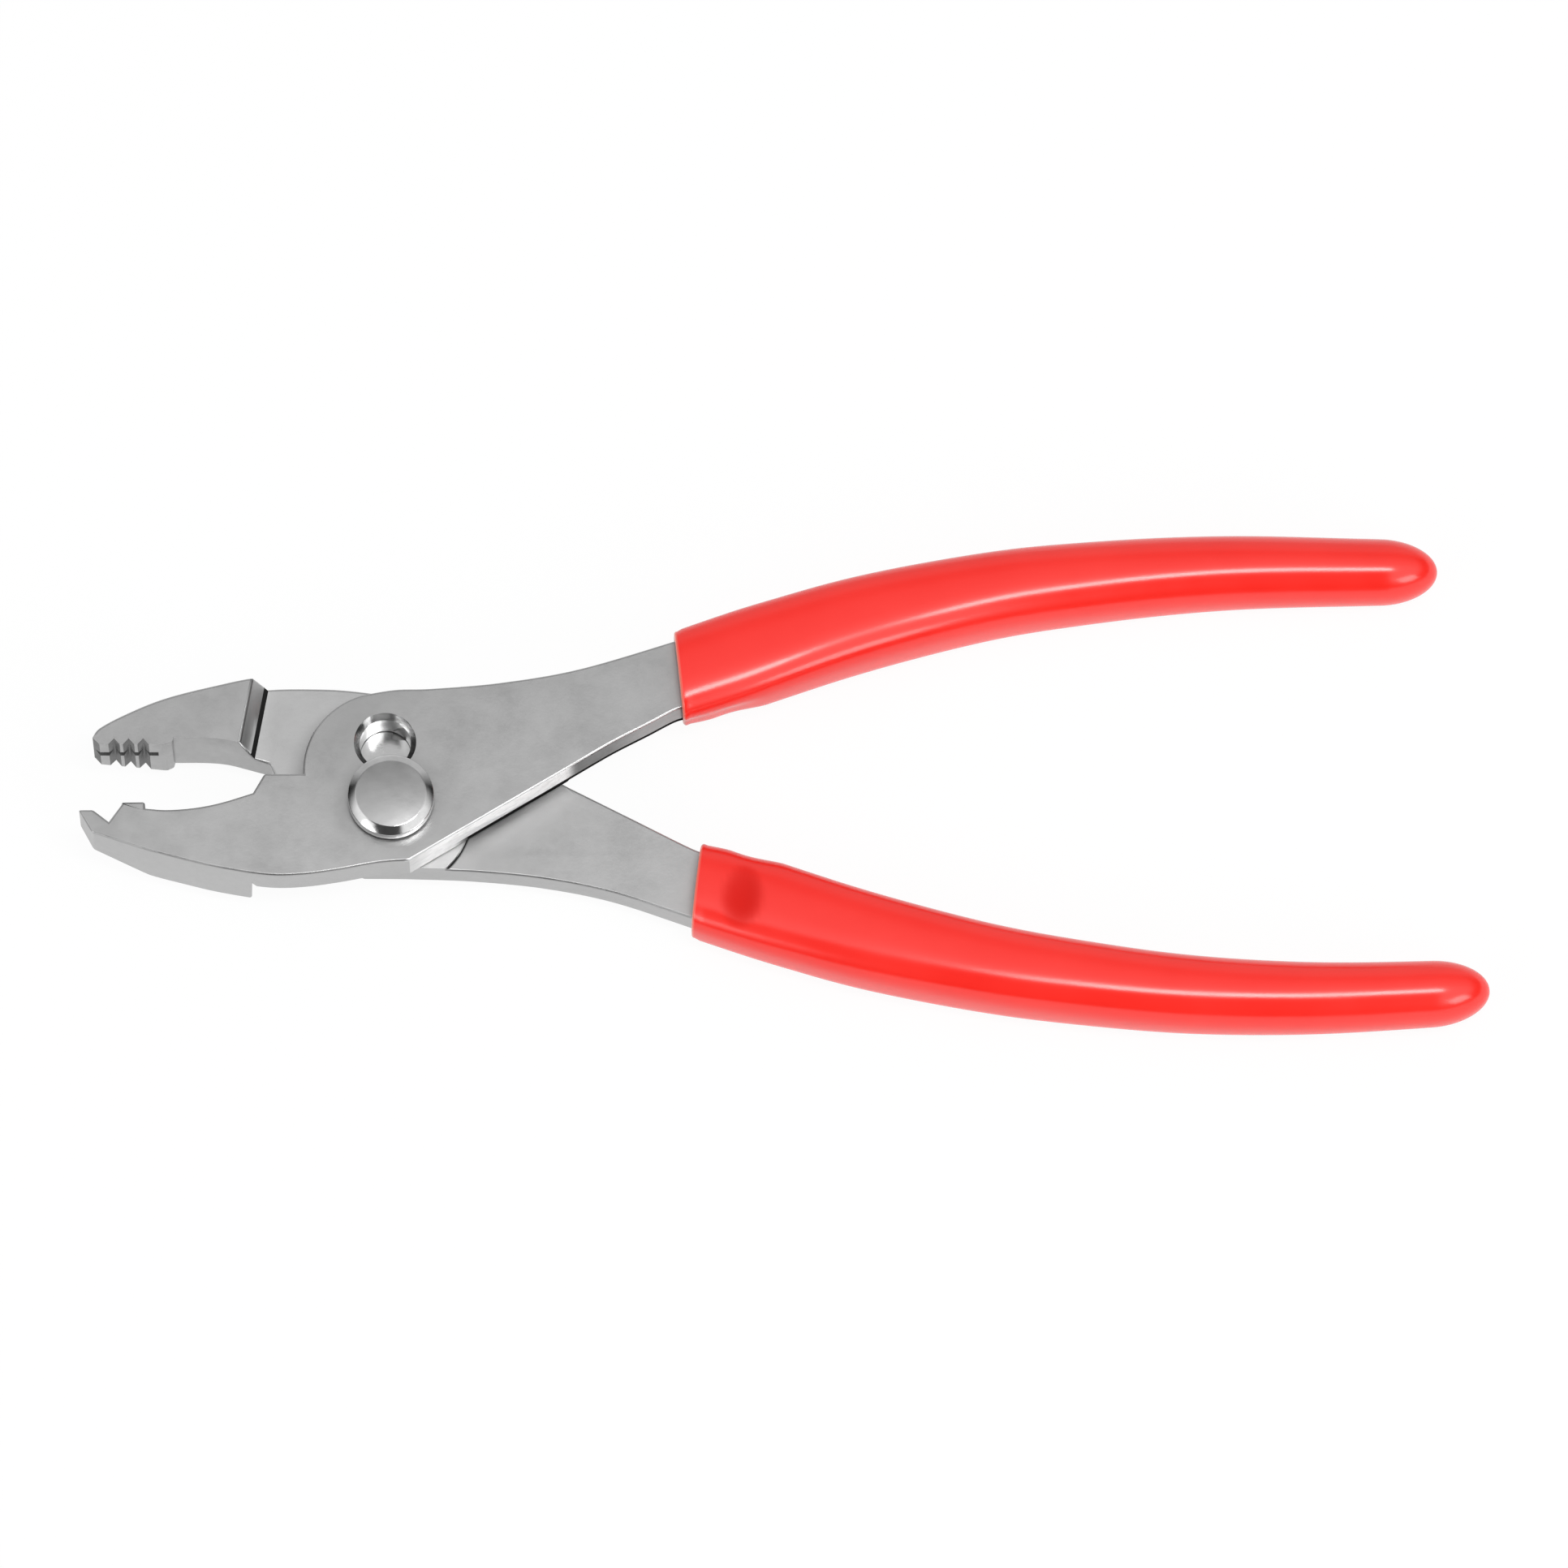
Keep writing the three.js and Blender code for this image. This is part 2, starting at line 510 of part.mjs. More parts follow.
function makeGrip(handle, name) {
  const { tipX, mouthX, axis, middle } = handle;
  const startX = mouthX - TANG_JOIN;
  const roundX = tipX - GRIP_END_ROUND;
  const rings = [];
  const addRing = (x, size) => {
    const halfWidth = (handle.width(x) / 2) * size;
    rings.push(ovalRing(x, axis(x), middle(x), halfWidth, (handle.thickness(x) / 2) * size));
  };
  const straightSteps = 26;
  for (let i = 0; i <= straightSteps; i += 1) addRing(mix(startX, roundX, i / straightSteps), 1);
  const roundSteps = 8;
  for (let i = 1; i <= roundSteps; i += 1) {
    const turn = (i / (roundSteps + 0.5)) * (Math.PI / 2);
    addRing(roundX + GRIP_END_ROUND * Math.sin(turn), Math.cos(turn));
  }
  const pocketEnd = tipX - GRIP_END_WALL + GRIP_CLEARANCE;
  const pocket = tangBar(handle, startX - TANG_JOIN, pocketEnd, GRIP_CLEARANCE, POCKET_CORNER);
  const waste = new THREE.BoxGeometry(GRIP_PALM_WIDTH, 4 * GRIP_PALM_WIDTH, 4 * GRIP_PALM_WIDTH);
  waste.translate(-GRIP_PALM_WIDTH / 2, 0, 0);
  waste.rotateZ(handle.slantSign * THREE.MathUtils.degToRad(MOUTH_SLANT_DEG));
  waste.translate(mouthX, axis(mouthX), middle(mouthX));
  return toMesh(loft(rings).subtract(pocket).subtract(toSolid(waste)), name, RED_VINYL);
}

// Assembly

const frontHalf = new THREE.Group();
frontHalf.add(makeFrontLever(), makeGrip(UPPER, 'upper_grip'));

const rearHalf = new THREE.Group();
rearHalf.add(makeRearLever(), makeGrip(LOWER, 'lower_grip'));

const pivot = new THREE.Group();
pivot.add(makePivotBolt(), makePivotNut());

const pliers = new THREE.Group();
pliers.add(frontHalf, rearHalf, pivot);

export default pliers;
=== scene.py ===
"""Hose clamp pliers: the looks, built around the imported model. Metres, +Z up, jaws towards -X."""
import math

import bmesh
import bpy
import numpy as np
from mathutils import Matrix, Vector

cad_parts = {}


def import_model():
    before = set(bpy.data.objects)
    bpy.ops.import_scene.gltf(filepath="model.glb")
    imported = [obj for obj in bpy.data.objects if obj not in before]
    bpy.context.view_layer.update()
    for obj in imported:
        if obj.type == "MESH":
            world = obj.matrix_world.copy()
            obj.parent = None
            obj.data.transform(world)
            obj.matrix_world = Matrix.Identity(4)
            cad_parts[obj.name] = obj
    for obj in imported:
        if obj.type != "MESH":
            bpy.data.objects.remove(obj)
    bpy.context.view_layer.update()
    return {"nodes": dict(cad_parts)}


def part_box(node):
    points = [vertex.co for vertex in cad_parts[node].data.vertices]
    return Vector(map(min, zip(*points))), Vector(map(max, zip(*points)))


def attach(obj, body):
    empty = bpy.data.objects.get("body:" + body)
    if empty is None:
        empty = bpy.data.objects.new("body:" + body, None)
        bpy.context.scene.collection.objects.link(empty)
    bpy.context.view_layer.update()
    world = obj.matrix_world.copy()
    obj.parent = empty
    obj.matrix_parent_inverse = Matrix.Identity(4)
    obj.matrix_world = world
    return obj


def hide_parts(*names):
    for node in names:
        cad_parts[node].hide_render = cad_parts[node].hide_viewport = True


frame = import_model()

MM = 0.001

# Slip slot and the bolt's neck in it
SLOT_SHIFT = 8.95 * MM
SLOT_LEAN = math.radians(6)
FREE_LOBE = (-SLOT_SHIFT * math.sin(SLOT_LEAN), SLOT_SHIFT * math.cos(SLOT_LEAN))
PIVOT = (0, 0)

# Steel levers: joining of flat faces and rounding of edges
EDGE_ROUND = 0.36 * MM
EDGE_SEGMENTS = 3
WELD = 0.002 * MM
FLAT_ANGLE = math.radians(0.6)
SHARP_ANGLE = math.radians(26)
KEPT_ANGLE = math.radians(38)
HIDDEN_FLAT_ANGLE = math.radians(4)
GRIP_OVERLAP = 1.6 * MM
CORNER_TURN = math.radians(20)
CORNER_ROOM = 0.55 * MM
CORNER_PASSES = 8
SHORT_SEGMENT = 0.16 * MM
LARGE_FACE = 40 * MM * MM
LEVEL = 0.99
LEVER_NORMAL_WEIGHT = 90

# Steel levers: regions as lowest and highest X, Y and Z in millimetres, FAR where there is no limit
FAR = 1000
LEVER_MARKS = ("edge", "lapped", "flank", "shoulder", "relief", "face", "shade")
SLOT_REACH = 5.4
LAP_BACK = ((-20, -FAR, -FAR), (26, FAR, 8.7))
HEEL_EDGE = ((2.2, -9.7, -FAR), (3.2, -8.7, 13.8))
TEETH = ((-FAR, -FAR, -FAR), (-32.3, 9.75, FAR))
GROOVES = ((-FAR, -FAR, -FAR), (-32.3, 10, FAR))
STEP_RADIUS = 11.4
STEP_BAND = 0.8
STEP_EDGE = ((0, -FAR, 7.5), (FAR, FAR, FAR))
RELIEF_EDGE = ((-0.5, -FAR, 7.5), (0.5, FAR, FAR))
BOSS = ((-5, -FAR, 8.1), (9, -7, FAR))
HOLLOW = ((-32, 8, 12), (-20.5, 10.6, FAR))
SHOULDER = ((-23, -FAR, 8.3), (-17, FAR, FAR))
SHOULDER_RIM = ((-23.5, -FAR, 13.2), (-18, FAR, FAR))
LAP_FACE = ((-FAR, -FAR, 8.15), (FAR, FAR, 8.35))
RELIEF_FACE = ((-FAR, -FAR, 7.35), (FAR, FAR, 7.55))
FLANK = ((2, -FAR, -FAR), (FAR, FAR, FAR))

# Steel levers: which way the faces of a region look, as limits of the normal
FLANK_NORMAL = Vector((0.527, -0.85, 0))
FLANK_FACING = 0.8
UPRIGHT = 0.5
SLOT_UPRIGHT = 0.8
UPWARD = 0.9
GROOVE_FACING = (-0.95, -0.1)
SHOULDER_FACING = 0.5
RIM_FACING = 0.15
# Painted shade in the teeth's grooves and on the shoulder's rim
GROOVE_SHADE = 0.75
RIM_SHADE = 0.5

# Steel levers: bands of X, Y, Z or radius over which the finish, the painted glare and the painted shade
# change
FORK_X = (25 * MM, 27 * MM)
HEEL_X = (2 * MM, 8 * MM)
# Painted shade: a black strip along the bottom of the flank and the shoulder, in the gap between the levers
GAP_SHADE_Z = (9.7 * MM, 9.8 * MM)
GAP_SHADE_RIGHT_X = (9 * MM, 11 * MM)
GAP_SHADE_LEFT_X = (-12 * MM, -15 * MM)
# Painted shade on the tang's side beyond the fork, fading towards the grip
TANG_SHADE_X = (25.5 * MM, 26.5 * MM)
TANG_SHADE_FADE_X = (31 * MM, 36 * MM)
# Painted glare on the front of the lapped boss face
BOSS_GLARE_Y = (-4 * MM, -5 * MM)
# Painted shade: the plate darkens towards the far side (+Y)
FAR_SIDE_SHADE_Y = (-12 * MM, 18 * MM)
LOBE_RADII = (7 * MM, 9 * MM)
WORN_RADII = (7 * MM, 8.6 * MM)
# Painted shade in a ring beside the boss's step
STEP_SHADE_RADII = (11.55 * MM, 11.8 * MM)
# Painted shade round the hub's upper left
HUB_SHADE_AT = (-8 * MM, 12 * MM)
HUB_SHADE_RADII = (1 * MM, 12 * MM)
GROUND_LAY = math.radians(32)
GROUND_STRETCH = 12

# Steel levers: tones, and the shares with which they cover the plate
PLATE_TONES = (0.465, 0.52)
CLOUD_TONE = 0.435
CLOUD_SHARE = 0.5
# Painted shade, darker towards the far side (+Y)
FAR_SIDE_SHADE_TONE = 0.36
FAR_SIDE_SHADE_SHARE = 0.4
# Painted shade round the hub's upper left
HUB_SHADE_TONE = 0.28
HUB_SHADE_SHARE = 0.3
LAP_TONE = 0.6
LAP_SHARE = 0.7
RELIEF_TONE = 0.5
RELIEF_SHARE = 0.6
EDGE_TONE = 0.44
EDGE_SHARES = (0.5, 0.8)
LOBE_TONE = 0.64
# Painted glare: the grinding-finished flank and the front of the boss face turn near-white, fading in at the
# heel
GROUND_GLARE_TONE = 1
HEEL_GLARE_SHARE = 0.25
BOSS_GLARE_SHARE = 0.24
STREAK_SHARES = (0.6, 1)
TANG_SHADE_SHARES = (0.6, 0.15)
# Painted shade: near-black in the gap, on the tang's side, beside the boss's step, in the grooves and on the
# shoulder's rim
PAINTED_SHADE_TONE = 0.02

# Steel levers: roughness, what each finish takes off it, and relief of the surface
PLATE_ROUGHNESS = (0.36, 0.48)
PIT_ROUGHNESS = (-0.04, 0.05)
EDGE_POLISH = 0.06
LOBE_POLISH = 0.23
WORN_POLISH = 0.08
EDGE_RELIEF = 0.1
PLAIN_SPECULAR = 0.5

# Bolt steel
BOLT_TONES = (0.54, 0.64)
BOLT_TOP_TONE = 0.41
BOLT_TOP_SHARE = 0.75
BOLT_ROUGHNESS = (0.1, 0.17)
BOLT_TOP_ROUGHNESS = 0.2
BOLT_SIDE_RELIEF = 0.15

# Grip vinyl
VINYL_COLOURS = ((0.88, 0.021, 0.014), (0.91, 0.027, 0.019))
# Painted shade in the pressed oval
PRESS_SHADE_COLOUR = (0.62, 0.012, 0.008)
PRESS_SHADE_SHARE = 0.85
LIP_COLOUR = (0.97, 0.45, 0.34)
LIP_SHARE = 0.8
VINYL_ROUGHNESS = (0.19, 0.23)
VINYL_SPECULAR = (0.6, 0.12)

# Noise levels between which most of a texture lies
NOISE_BAND = (0.3, 0.7)
CLOUD_BAND = (0.35, 0.7)
PIT_BAND = (0.3, 0.6)
STREAK_BAND = (0.3, 0.55)
WHOLE = (0, 1)
REVERSED = (1, 0)

# Grips: places, loft steps and section
UPPER_MOUTH_X = 41.3 * MM
LOWER_MOUTH_X = 43.9 * MM
MOUTH_SLANT = math.radians(6)
SLANT_REACH = 14 * MM
END_ROUND = 8.3 * MM
GRIP_RINGS = 150
GRIP_SIDES = 72
END_STEPS = 24
MOUTH_SQUARENESS = 3.1
END_SQUARENESS = 2.15
LIP_SQUARENESS = 5
POCKET_SQUARENESS = 8

# Grips: wall, lip and pocket
GRIP_SIDE_WALL = 1.2 * MM
GRIP_FACE_WALL = 2.0 * MM
LIP_ROUND = 0.45 * MM
LIP_STEPS = 5
LIP_INSIDE_MARK = 0.5
POCKET_RINGS = 40
POCKET_END_WALL = 8 * MM
POCKET_FROM_MOUTH = 1 * MM

# Grips: how the inner side is drawn in near the mouth, and the pressed oval
MOUTH_TRIM = 0.65 * MM
TRIM_REACH = 5 * MM
PINCH_DEPTH = 0.55 * MM
PINCH_FROM_MOUTH = 7 * MM
PINCH_REACH = 6 * MM
PINCH_TOP = 0.4
PRESS_AT = (50.6 * MM, -13.5 * MM)
PRESS_HALF_LENGTH = 3.2 * MM
PRESS_HALF_WIDTH = 5 * MM
PRESS_DEPTH = 0.4 * MM

# Grips: sampling of the solid
PROFILE_SAMPLES = 90
PROFILE_SMOOTHING = 4
DEPTH_SMOOTHING = 120
SAMPLE_FROM_MOUTH = 1.2 * MM
SAMPLE_BEFORE_END = 0.5 * MM
MOUTH_SLOPE_SAMPLES = 3
END_SLOPE_SAMPLES = 4

# Bolt
TURN_STEPS = 144
SHANK_RADIUS = 3.4 * MM
NECK_ACROSS_FLATS = 4.4 * MM
NECK_LENGTH = 5.5 * MM
NECK_STEP = 0.05 * MM
HEAD_LIFT = 0.3 * MM
HEAD_FILLET = 0.12 * MM
FILLET_STEPS = 4
FILLET_ROOM = 0.45
HEAD_CROWN = 0.36 * MM
HEAD_TOP_SHARE = 0.82
HEAD_RIM_SHARE = 0.58
CROWN_START = 0.95
CROWN_STEPS = 8
LAST_CROWN_STEP = 0.5
TOP_MARK_SHARE = 0.98
AXIS_RADIUS = 0.4 * MM

# Nut
SIXTH = math.pi / 3
NUT_BORE = 3.7 * MM
NUT_CHAMFER = 0.6 * MM
CHAMFER_STEPS = 8
CORNER_TRIM = 0.25 * MM
BORE_BREAK = 0.3 * MM
NUT_TOP_MARK = 0.3
NUT_NORMAL_WEIGHT = 50

# Camera: aims at the middle of the picture, from the front and well above
IMAGE_PIXELS = 1932
PIXELS_PER_METRE = 8560
AIM = Vector((56.54, 2.49, 13.9)) * MM
CAMERA_ELEVATION = math.radians(70)
CAMERA_DISTANCE = 2.4
SENSOR = 36

# Surroundings: levels, and the bands of the direction over which they change
CEILING_BAND = (0.1, 0.55)
CEILING_LEVELS = (0.04, 0.85)
FRONT_BAND = (0.55, -0.05)
FRONT_GAINS = (0.55, 1.9)
LOW_BAND = (0.3, 0.45)
LOW_SHARES = (0.06, 1)
OUTWARD_BAND = (0.6, 0.8)
BACK_BAND = (0.5, 0.8)
BACK_LEVEL = 0.85
STRIP_MIDDLE = -0.09
STRIP_BAND = (0.32, 0.42)
STRIP_FRONT_BAND = (-0.06, -0.2)
STRIP_SHARE = 0.06

# White paper floor and lamps
FLOOR_SIZE = 8
FLOOR_PLACE = (0.05, 0, -0.0002)
PAPER_TONE = 0.96
PAPER_GLOW = 0.94
PAPER_GLOSS = 0.82
LAMP_DISTANCE = 1.2


# Node materials

class Nodes:
    """A short way to build one node tree."""

    def __init__(self, name, world=False):
        owner = bpy.data.worlds.new(name) if world else bpy.data.materials.new(name)
        owner.use_nodes = True
        self.owner = owner
        self.tree = owner.node_tree
        self.tree.nodes.clear()

    def add(self, kind, **settings):
        node = self.tree.nodes.new(kind)
        for key, value in settings.items():
            setattr(node, key, value)
        return node

    def link(self, source, target):
        self.tree.links.new(source, target)

    def noise(self, coordinates, scale, detail, roughness=0.55):
        node = self.add("ShaderNodeTexNoise")
        node.inputs["Scale"].default_value = scale
        node.inputs["Detail"].default_value = detail
        node.inputs["Roughness"].default_value = roughness
        self.link(coordinates, node.inputs["Vector"])
        return node.outputs["Fac"]

    def remap(self, value, band, results):
        """Results between two values, as another value crosses a band; held beyond both ends."""
        node = self.add("ShaderNodeMapRange")
        for socket, number in zip(("From Min", "From Max", "To Min", "To Max"), (*band, *results)):
            node.inputs[socket].default_value = number
        self.link(value, node.inputs["Value"])
        return node.outputs["Result"]

    def math(self, operation, first, second=0):
        node = self.add("ShaderNodeMath", operation=operation)
        for socket, value in zip(node.inputs, (first, second)):
            if isinstance(value, (int, float)):
                socket.default_value = value
            else:
                self.link(value, socket)
        return node.outputs[0]

    def product(self, first, *others):
        for other in others:
            first = self.math("MULTIPLY", first, other)
        return first

    def blend(self, share, first, second):
        node = self.add("ShaderNodeMix", data_type="RGBA")
        sockets = [node.inputs["Factor"], node.inputs[6], node.inputs[7]]
        for socket, value in zip(sockets, (share, first, second)):
            if isinstance(value, tuple):
                socket.default_value = (*value, 1)
            else:
                self.link(value, socket)
        return node.outputs[2]

    def stretched(self, coordinates, turn, stretch):
        """Coordinates turned about Z and drawn out along the new X, for a lay of fine lines."""
        node = self.add("ShaderNodeMapping")
        node.inputs["Rotation"].default_value = (0, 0, -turn)
        node.inputs["Scale"].default_value = (1 / stretch, 1, 1)
        self.link(coordinates, node.inputs["Vector"])
        return node.outputs["Vector"]

    def axis(self, coordinates, letter):
        node = self.add("ShaderNodeSeparateXYZ")
        self.link(coordinates, node.inputs[0])
        return node.outputs[letter]

    def near(self, coordinates, axis, radii):
        """1 within the first radius of an axis along Z, fading to 0 at the second."""
        flat = self.add("ShaderNodeVectorMath", operation="MULTIPLY")
        flat.inputs[1].default_value = (1, 1, 0)
        self.link(coordinates, flat.inputs[0])
        away = self.add("ShaderNodeVectorMath", operation="DISTANCE")
        away.inputs[1].default_value = (*axis, 0)
        self.link(flat.outputs[0], away.inputs[0])
        return self.remap(away.outputs["Value"], radii, REVERSED)

    def attribute(self, name):
        return self.add("ShaderNodeAttribute", attribute_name=name).outputs["Fac"]

    def bump(self, height, strength, distance, normal=None):
        node = self.add("ShaderNodeBump")
        node.inputs["Strength"].default_value = strength
        node.inputs["Distance"].default_value = distance
        self.link(height, node.inputs["Height"])
        if normal is not None:
            self.link(normal, node.inputs["Normal"])
        return node.outputs["Normal"]

    def surface(self, shader):
        output = self.add("ShaderNodeOutputMaterial")
        self.link(shader, output.inputs["Surface"])
        return self.owner


def grey(value):
    return (value, value, value)


def ground_glare_and_gap_shade(n, place):
    """Shares of the grinding-finished metal beside the joint, painted near-white as the lamp's glare, and of
    the painted shade in the gap between the levers.
    """
    x = n.axis(place, "X")
    flank = n.attribute("flank")
    streaks = n.noise(n.stretched(place, GROUND_LAY, GROUND_STRETCH), scale=900, detail=3, roughness=0.6)
    apart = n.math("MAXIMUM", n.remap(x, GAP_SHADE_RIGHT_X, WHOLE), n.remap(x, GAP_SHADE_LEFT_X, WHOLE))
    walls = n.math("MAXIMUM", flank, n.attribute("shoulder"))
    # Painted shade: a black strip at the bottom of the flank and shoulder walls in the gap
    gap = n.product(walls, apart, n.remap(n.axis(place, "Z"), GAP_SHADE_Z, REVERSED))
    # Painted glare: the flank up to the fork, fading at the heel, and the front of the lapped boss face
    diagonal = n.product(flank, n.remap(x, FORK_X, REVERSED), n.remap(x, HEEL_X, (HEEL_GLARE_SHARE, 1)))
    boss = n.product(n.attribute("lapped"), n.remap(n.axis(place, "Y"), BOSS_GLARE_Y, (0, BOSS_GLARE_SHARE)))
    ground_glare = n.math("MAXIMUM", diagonal, boss)
    ground_glare = n.product(ground_glare, n.remap(streaks, STREAK_BAND, STREAK_SHARES), n.remap(gap, WHOLE, REVERSED))
    return ground_glare, gap


def lever_tone(n, place, mottle, pits, lobe, ground_glare, gap):
    """The plate's tone with its clouds, worn edges and lapped areas, painted glare on the grinding-finished
    flank and the boss, and painted shade on the far side, round the hub, in the gap, on the tang's side,
    beside the boss's step, in the grooves and on the shoulder's rim.
    """
    x = n.axis(place, "X")
    relief = n.attribute("relief")
    cloud = n.noise(place, scale=45, detail=2)
    # Painted shade, darker towards the far side
    far_side_shade = n.remap(n.axis(place, "Y"), FAR_SIDE_SHADE_Y, (0, FAR_SIDE_SHADE_SHARE))
    # Painted shade round the hub's upper left
    hub_shade = n.product(n.attribute("face"), n.near(place, HUB_SHADE_AT, HUB_SHADE_RADII), HUB_SHADE_SHARE)
    edge = n.product(n.attribute("edge"), n.remap(pits, PIT_BAND, EDGE_SHARES))
    tone = n.blend(n.remap(mottle, NOISE_BAND, WHOLE), grey(PLATE_TONES[0]), grey(PLATE_TONES[1]))
    tone = n.blend(n.remap(cloud, CLOUD_BAND, (0, CLOUD_SHARE)), tone, grey(CLOUD_TONE))
    tone = n.blend(far_side_shade, tone, grey(FAR_SIDE_SHADE_TONE))
    tone = n.blend(hub_shade, tone, grey(HUB_SHADE_TONE))
    tone = n.blend(n.product(n.attribute("lapped"), LAP_SHARE), tone, grey(LAP_TONE))
    tone = n.blend(n.product(relief, RELIEF_SHARE), tone, grey(RELIEF_TONE))
    tone = n.blend(edge, tone, grey(EDGE_TONE))
    tone = n.blend(lobe, tone, grey(LOBE_TONE))
    # Painted glare on the grinding-finished areas
    tone = n.blend(ground_glare, tone, grey(GROUND_GLARE_TONE))
    # Painted shade on the tang's side beyond the fork, fading towards the grip
    tang = n.product(n.attribute("flank"), n.remap(x, TANG_SHADE_X, WHOLE), n.remap(x, TANG_SHADE_FADE_X, TANG_SHADE_SHARES))
    # Painted shade in a ring beside the boss's step
    step_shade = n.product(relief, n.near(place, PIVOT, STEP_SHADE_RADII))
    # Painted shade: the gap, the tang's side, beside the step, the grooves and the shoulder's rim
    for painted_shade in (gap, tang, step_shade, n.attribute("shade")):
        tone = n.blend(painted_shade, tone, grey(PAINTED_SHADE_TONE))
    return tone


def lever_steel():
    """Satin nickel plate over a forging: tumbled grain, worn edges, lapped areas, grinding-finished areas
    painted near-white as glare, and painted shade.
    """
    n = Nodes("lever_steel")
    place = n.add("ShaderNodeTexCoord").outputs["Object"]
    mottle = n.noise(place, scale=160, detail=4)
    grain = n.noise(place, scale=2600, detail=2)
    pits = n.noise(place, scale=900, detail=5, roughness=0.7)
    edge = n.attribute("edge")
    lobe = n.product(n.attribute("lapped"), n.near(place, FREE_LOBE, LOBE_RADII))
    worn = n.product(n.attribute("face"), n.near(place, PIVOT, WORN_RADII))
    ground_glare, gap = ground_glare_and_gap_shade(n, place)
    rough = n.remap(mottle, NOISE_BAND, PLATE_ROUGHNESS)
    rough = n.math("ADD", rough, n.remap(pits, NOISE_BAND, PIT_ROUGHNESS))
    for area, polish in ((edge, EDGE_POLISH), (lobe, LOBE_POLISH), (worn, WORN_POLISH)):
        rough = n.math("SUBTRACT", rough, n.product(area, polish))
    even = n.remap(edge, WHOLE, (1, EDGE_RELIEF))
    normal = n.bump(n.product(grain, even), strength=0.25, distance=0.02 * MM)
    normal = n.bump(n.product(pits, even), strength=0.2, distance=0.05 * MM, normal=normal)
    bsdf = n.add("ShaderNodeBsdfPrincipled")
    # The painted glare is a white non-metal; the painted shade in the gap is black and reflects nothing
    n.link(n.remap(n.math("MAXIMUM", ground_glare, gap), WHOLE, REVERSED), bsdf.inputs["Metallic"])
    n.link(n.remap(gap, WHOLE, (PLAIN_SPECULAR, 0)), bsdf.inputs["Specular IOR Level"])
    n.link(lever_tone(n, place, mottle, pits, lobe, ground_glare, gap), bsdf.inputs["Base Color"])
    n.link(rough, bsdf.inputs["Roughness"])
    n.link(normal, bsdf.inputs["Normal"])
    return n.surface(bsdf.outputs[0])


def bolt_steel():
    """Bright turned steel with a grainy, lightly struck top."""
    n = Nodes("bolt_steel")
    place = n.add("ShaderNodeTexCoord").outputs["Object"]
    mottle = n.noise(place, scale=420, detail=4, roughness=0.65)
    grain = n.noise(place, scale=2400, detail=3)
    top = n.attribute("top")
    tone = n.blend(n.remap(mottle, NOISE_BAND, WHOLE), grey(BOLT_TONES[0]), grey(BOLT_TONES[1]))
    tone = n.blend(n.product(top, BOLT_TOP_SHARE), tone, grey(BOLT_TOP_TONE))
    rough = n.remap(mottle, NOISE_BAND, BOLT_ROUGHNESS)
    rough = n.math("ADD", rough, n.product(top, BOLT_TOP_ROUGHNESS))
    struck = n.product(mottle, n.remap(top, WHOLE, (BOLT_SIDE_RELIEF, 1)))
    normal = n.bump(struck, strength=0.35, distance=0.06 * MM)
    normal = n.bump(grain, strength=0.12, distance=0.02 * MM, normal=normal)
    bsdf = n.add("ShaderNodeBsdfPrincipled")
    bsdf.inputs["Metallic"].default_value = 1
    n.link(tone, bsdf.inputs["Base Color"])
    n.link(rough, bsdf.inputs["Roughness"])
    n.link(normal, bsdf.inputs["Normal"])
    return n.surface(bsdf.outputs[0])


def grip_vinyl():
    """Dipped vinyl: satin gloss, soft orange peel, painted shade in the pressed oval, paler on the lip."""
    n = Nodes("grip_vinyl")
    place = n.add("ShaderNodeTexCoord").outputs["Object"]
    cloud = n.noise(place, scale=70, detail=3)
    peel = n.noise(place, scale=700, detail=3)
    press = n.attribute("press")
    tone = n.blend(n.remap(cloud, NOISE_BAND, WHOLE), *VINYL_COLOURS)
    # Painted shade in the pressed oval
    tone = n.blend(n.product(press, PRESS_SHADE_SHARE), tone, PRESS_SHADE_COLOUR)
    tone = n.blend(n.product(n.attribute("lip"), LIP_SHARE), tone, LIP_COLOUR)
    bsdf = n.add("ShaderNodeBsdfPrincipled")
    n.link(n.remap(press, WHOLE, VINYL_SPECULAR), bsdf.inputs["Specular IOR Level"])
    n.link(tone, bsdf.inputs["Base Color"])
    n.link(n.remap(cloud, NOISE_BAND, VINYL_ROUGHNESS), bsdf.inputs["Roughness"])
    n.link(n.bump(peel, strength=0.12, distance=0.04 * MM), bsdf.inputs["Normal"])
    return n.surface(bsdf.outputs[0])


# Pieces

def piece(name, mesh, node, body, material):
    """A finished piece that stands for one node and moves with its body."""
    mesh.name = name
    obj = bpy.data.objects.new(name, mesh)
    bpy.context.scene.collection.objects.link(obj)
    obj.data.materials.clear()
    obj.data.materials.append(material)
    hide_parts(node)
    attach(obj, body)
    return obj


def even_normals(obj, weight):
    """Lets the large faces of a piece shade flat beside its roundings."""
    normals = obj.modifiers.new("normals", "WEIGHTED_NORMAL")
    normals.keep_sharp = True
    normals.weight = weight


def bridge(bm, before, after):
    """Faces between two rings of equal count."""
    for i in range(len(before)):
        j = (i + 1) % len(before)
        bm.faces.new((before[i], before[j], after[j], after[i]))


def smooth_mesh(bm, name):
    """The finished, smooth-shaded mesh of a closed skin."""
    bmesh.ops.recalc_face_normals(bm, faces=bm.faces)
    mesh = bpy.data.meshes.new(name)
    bm.to_mesh(mesh)
    bm.free()
    for face in mesh.polygons:
        face.use_smooth = True
    return mesh


# Levers

def within(point, region):
    return all(low < value < high for value, low, high in zip(point, *region))


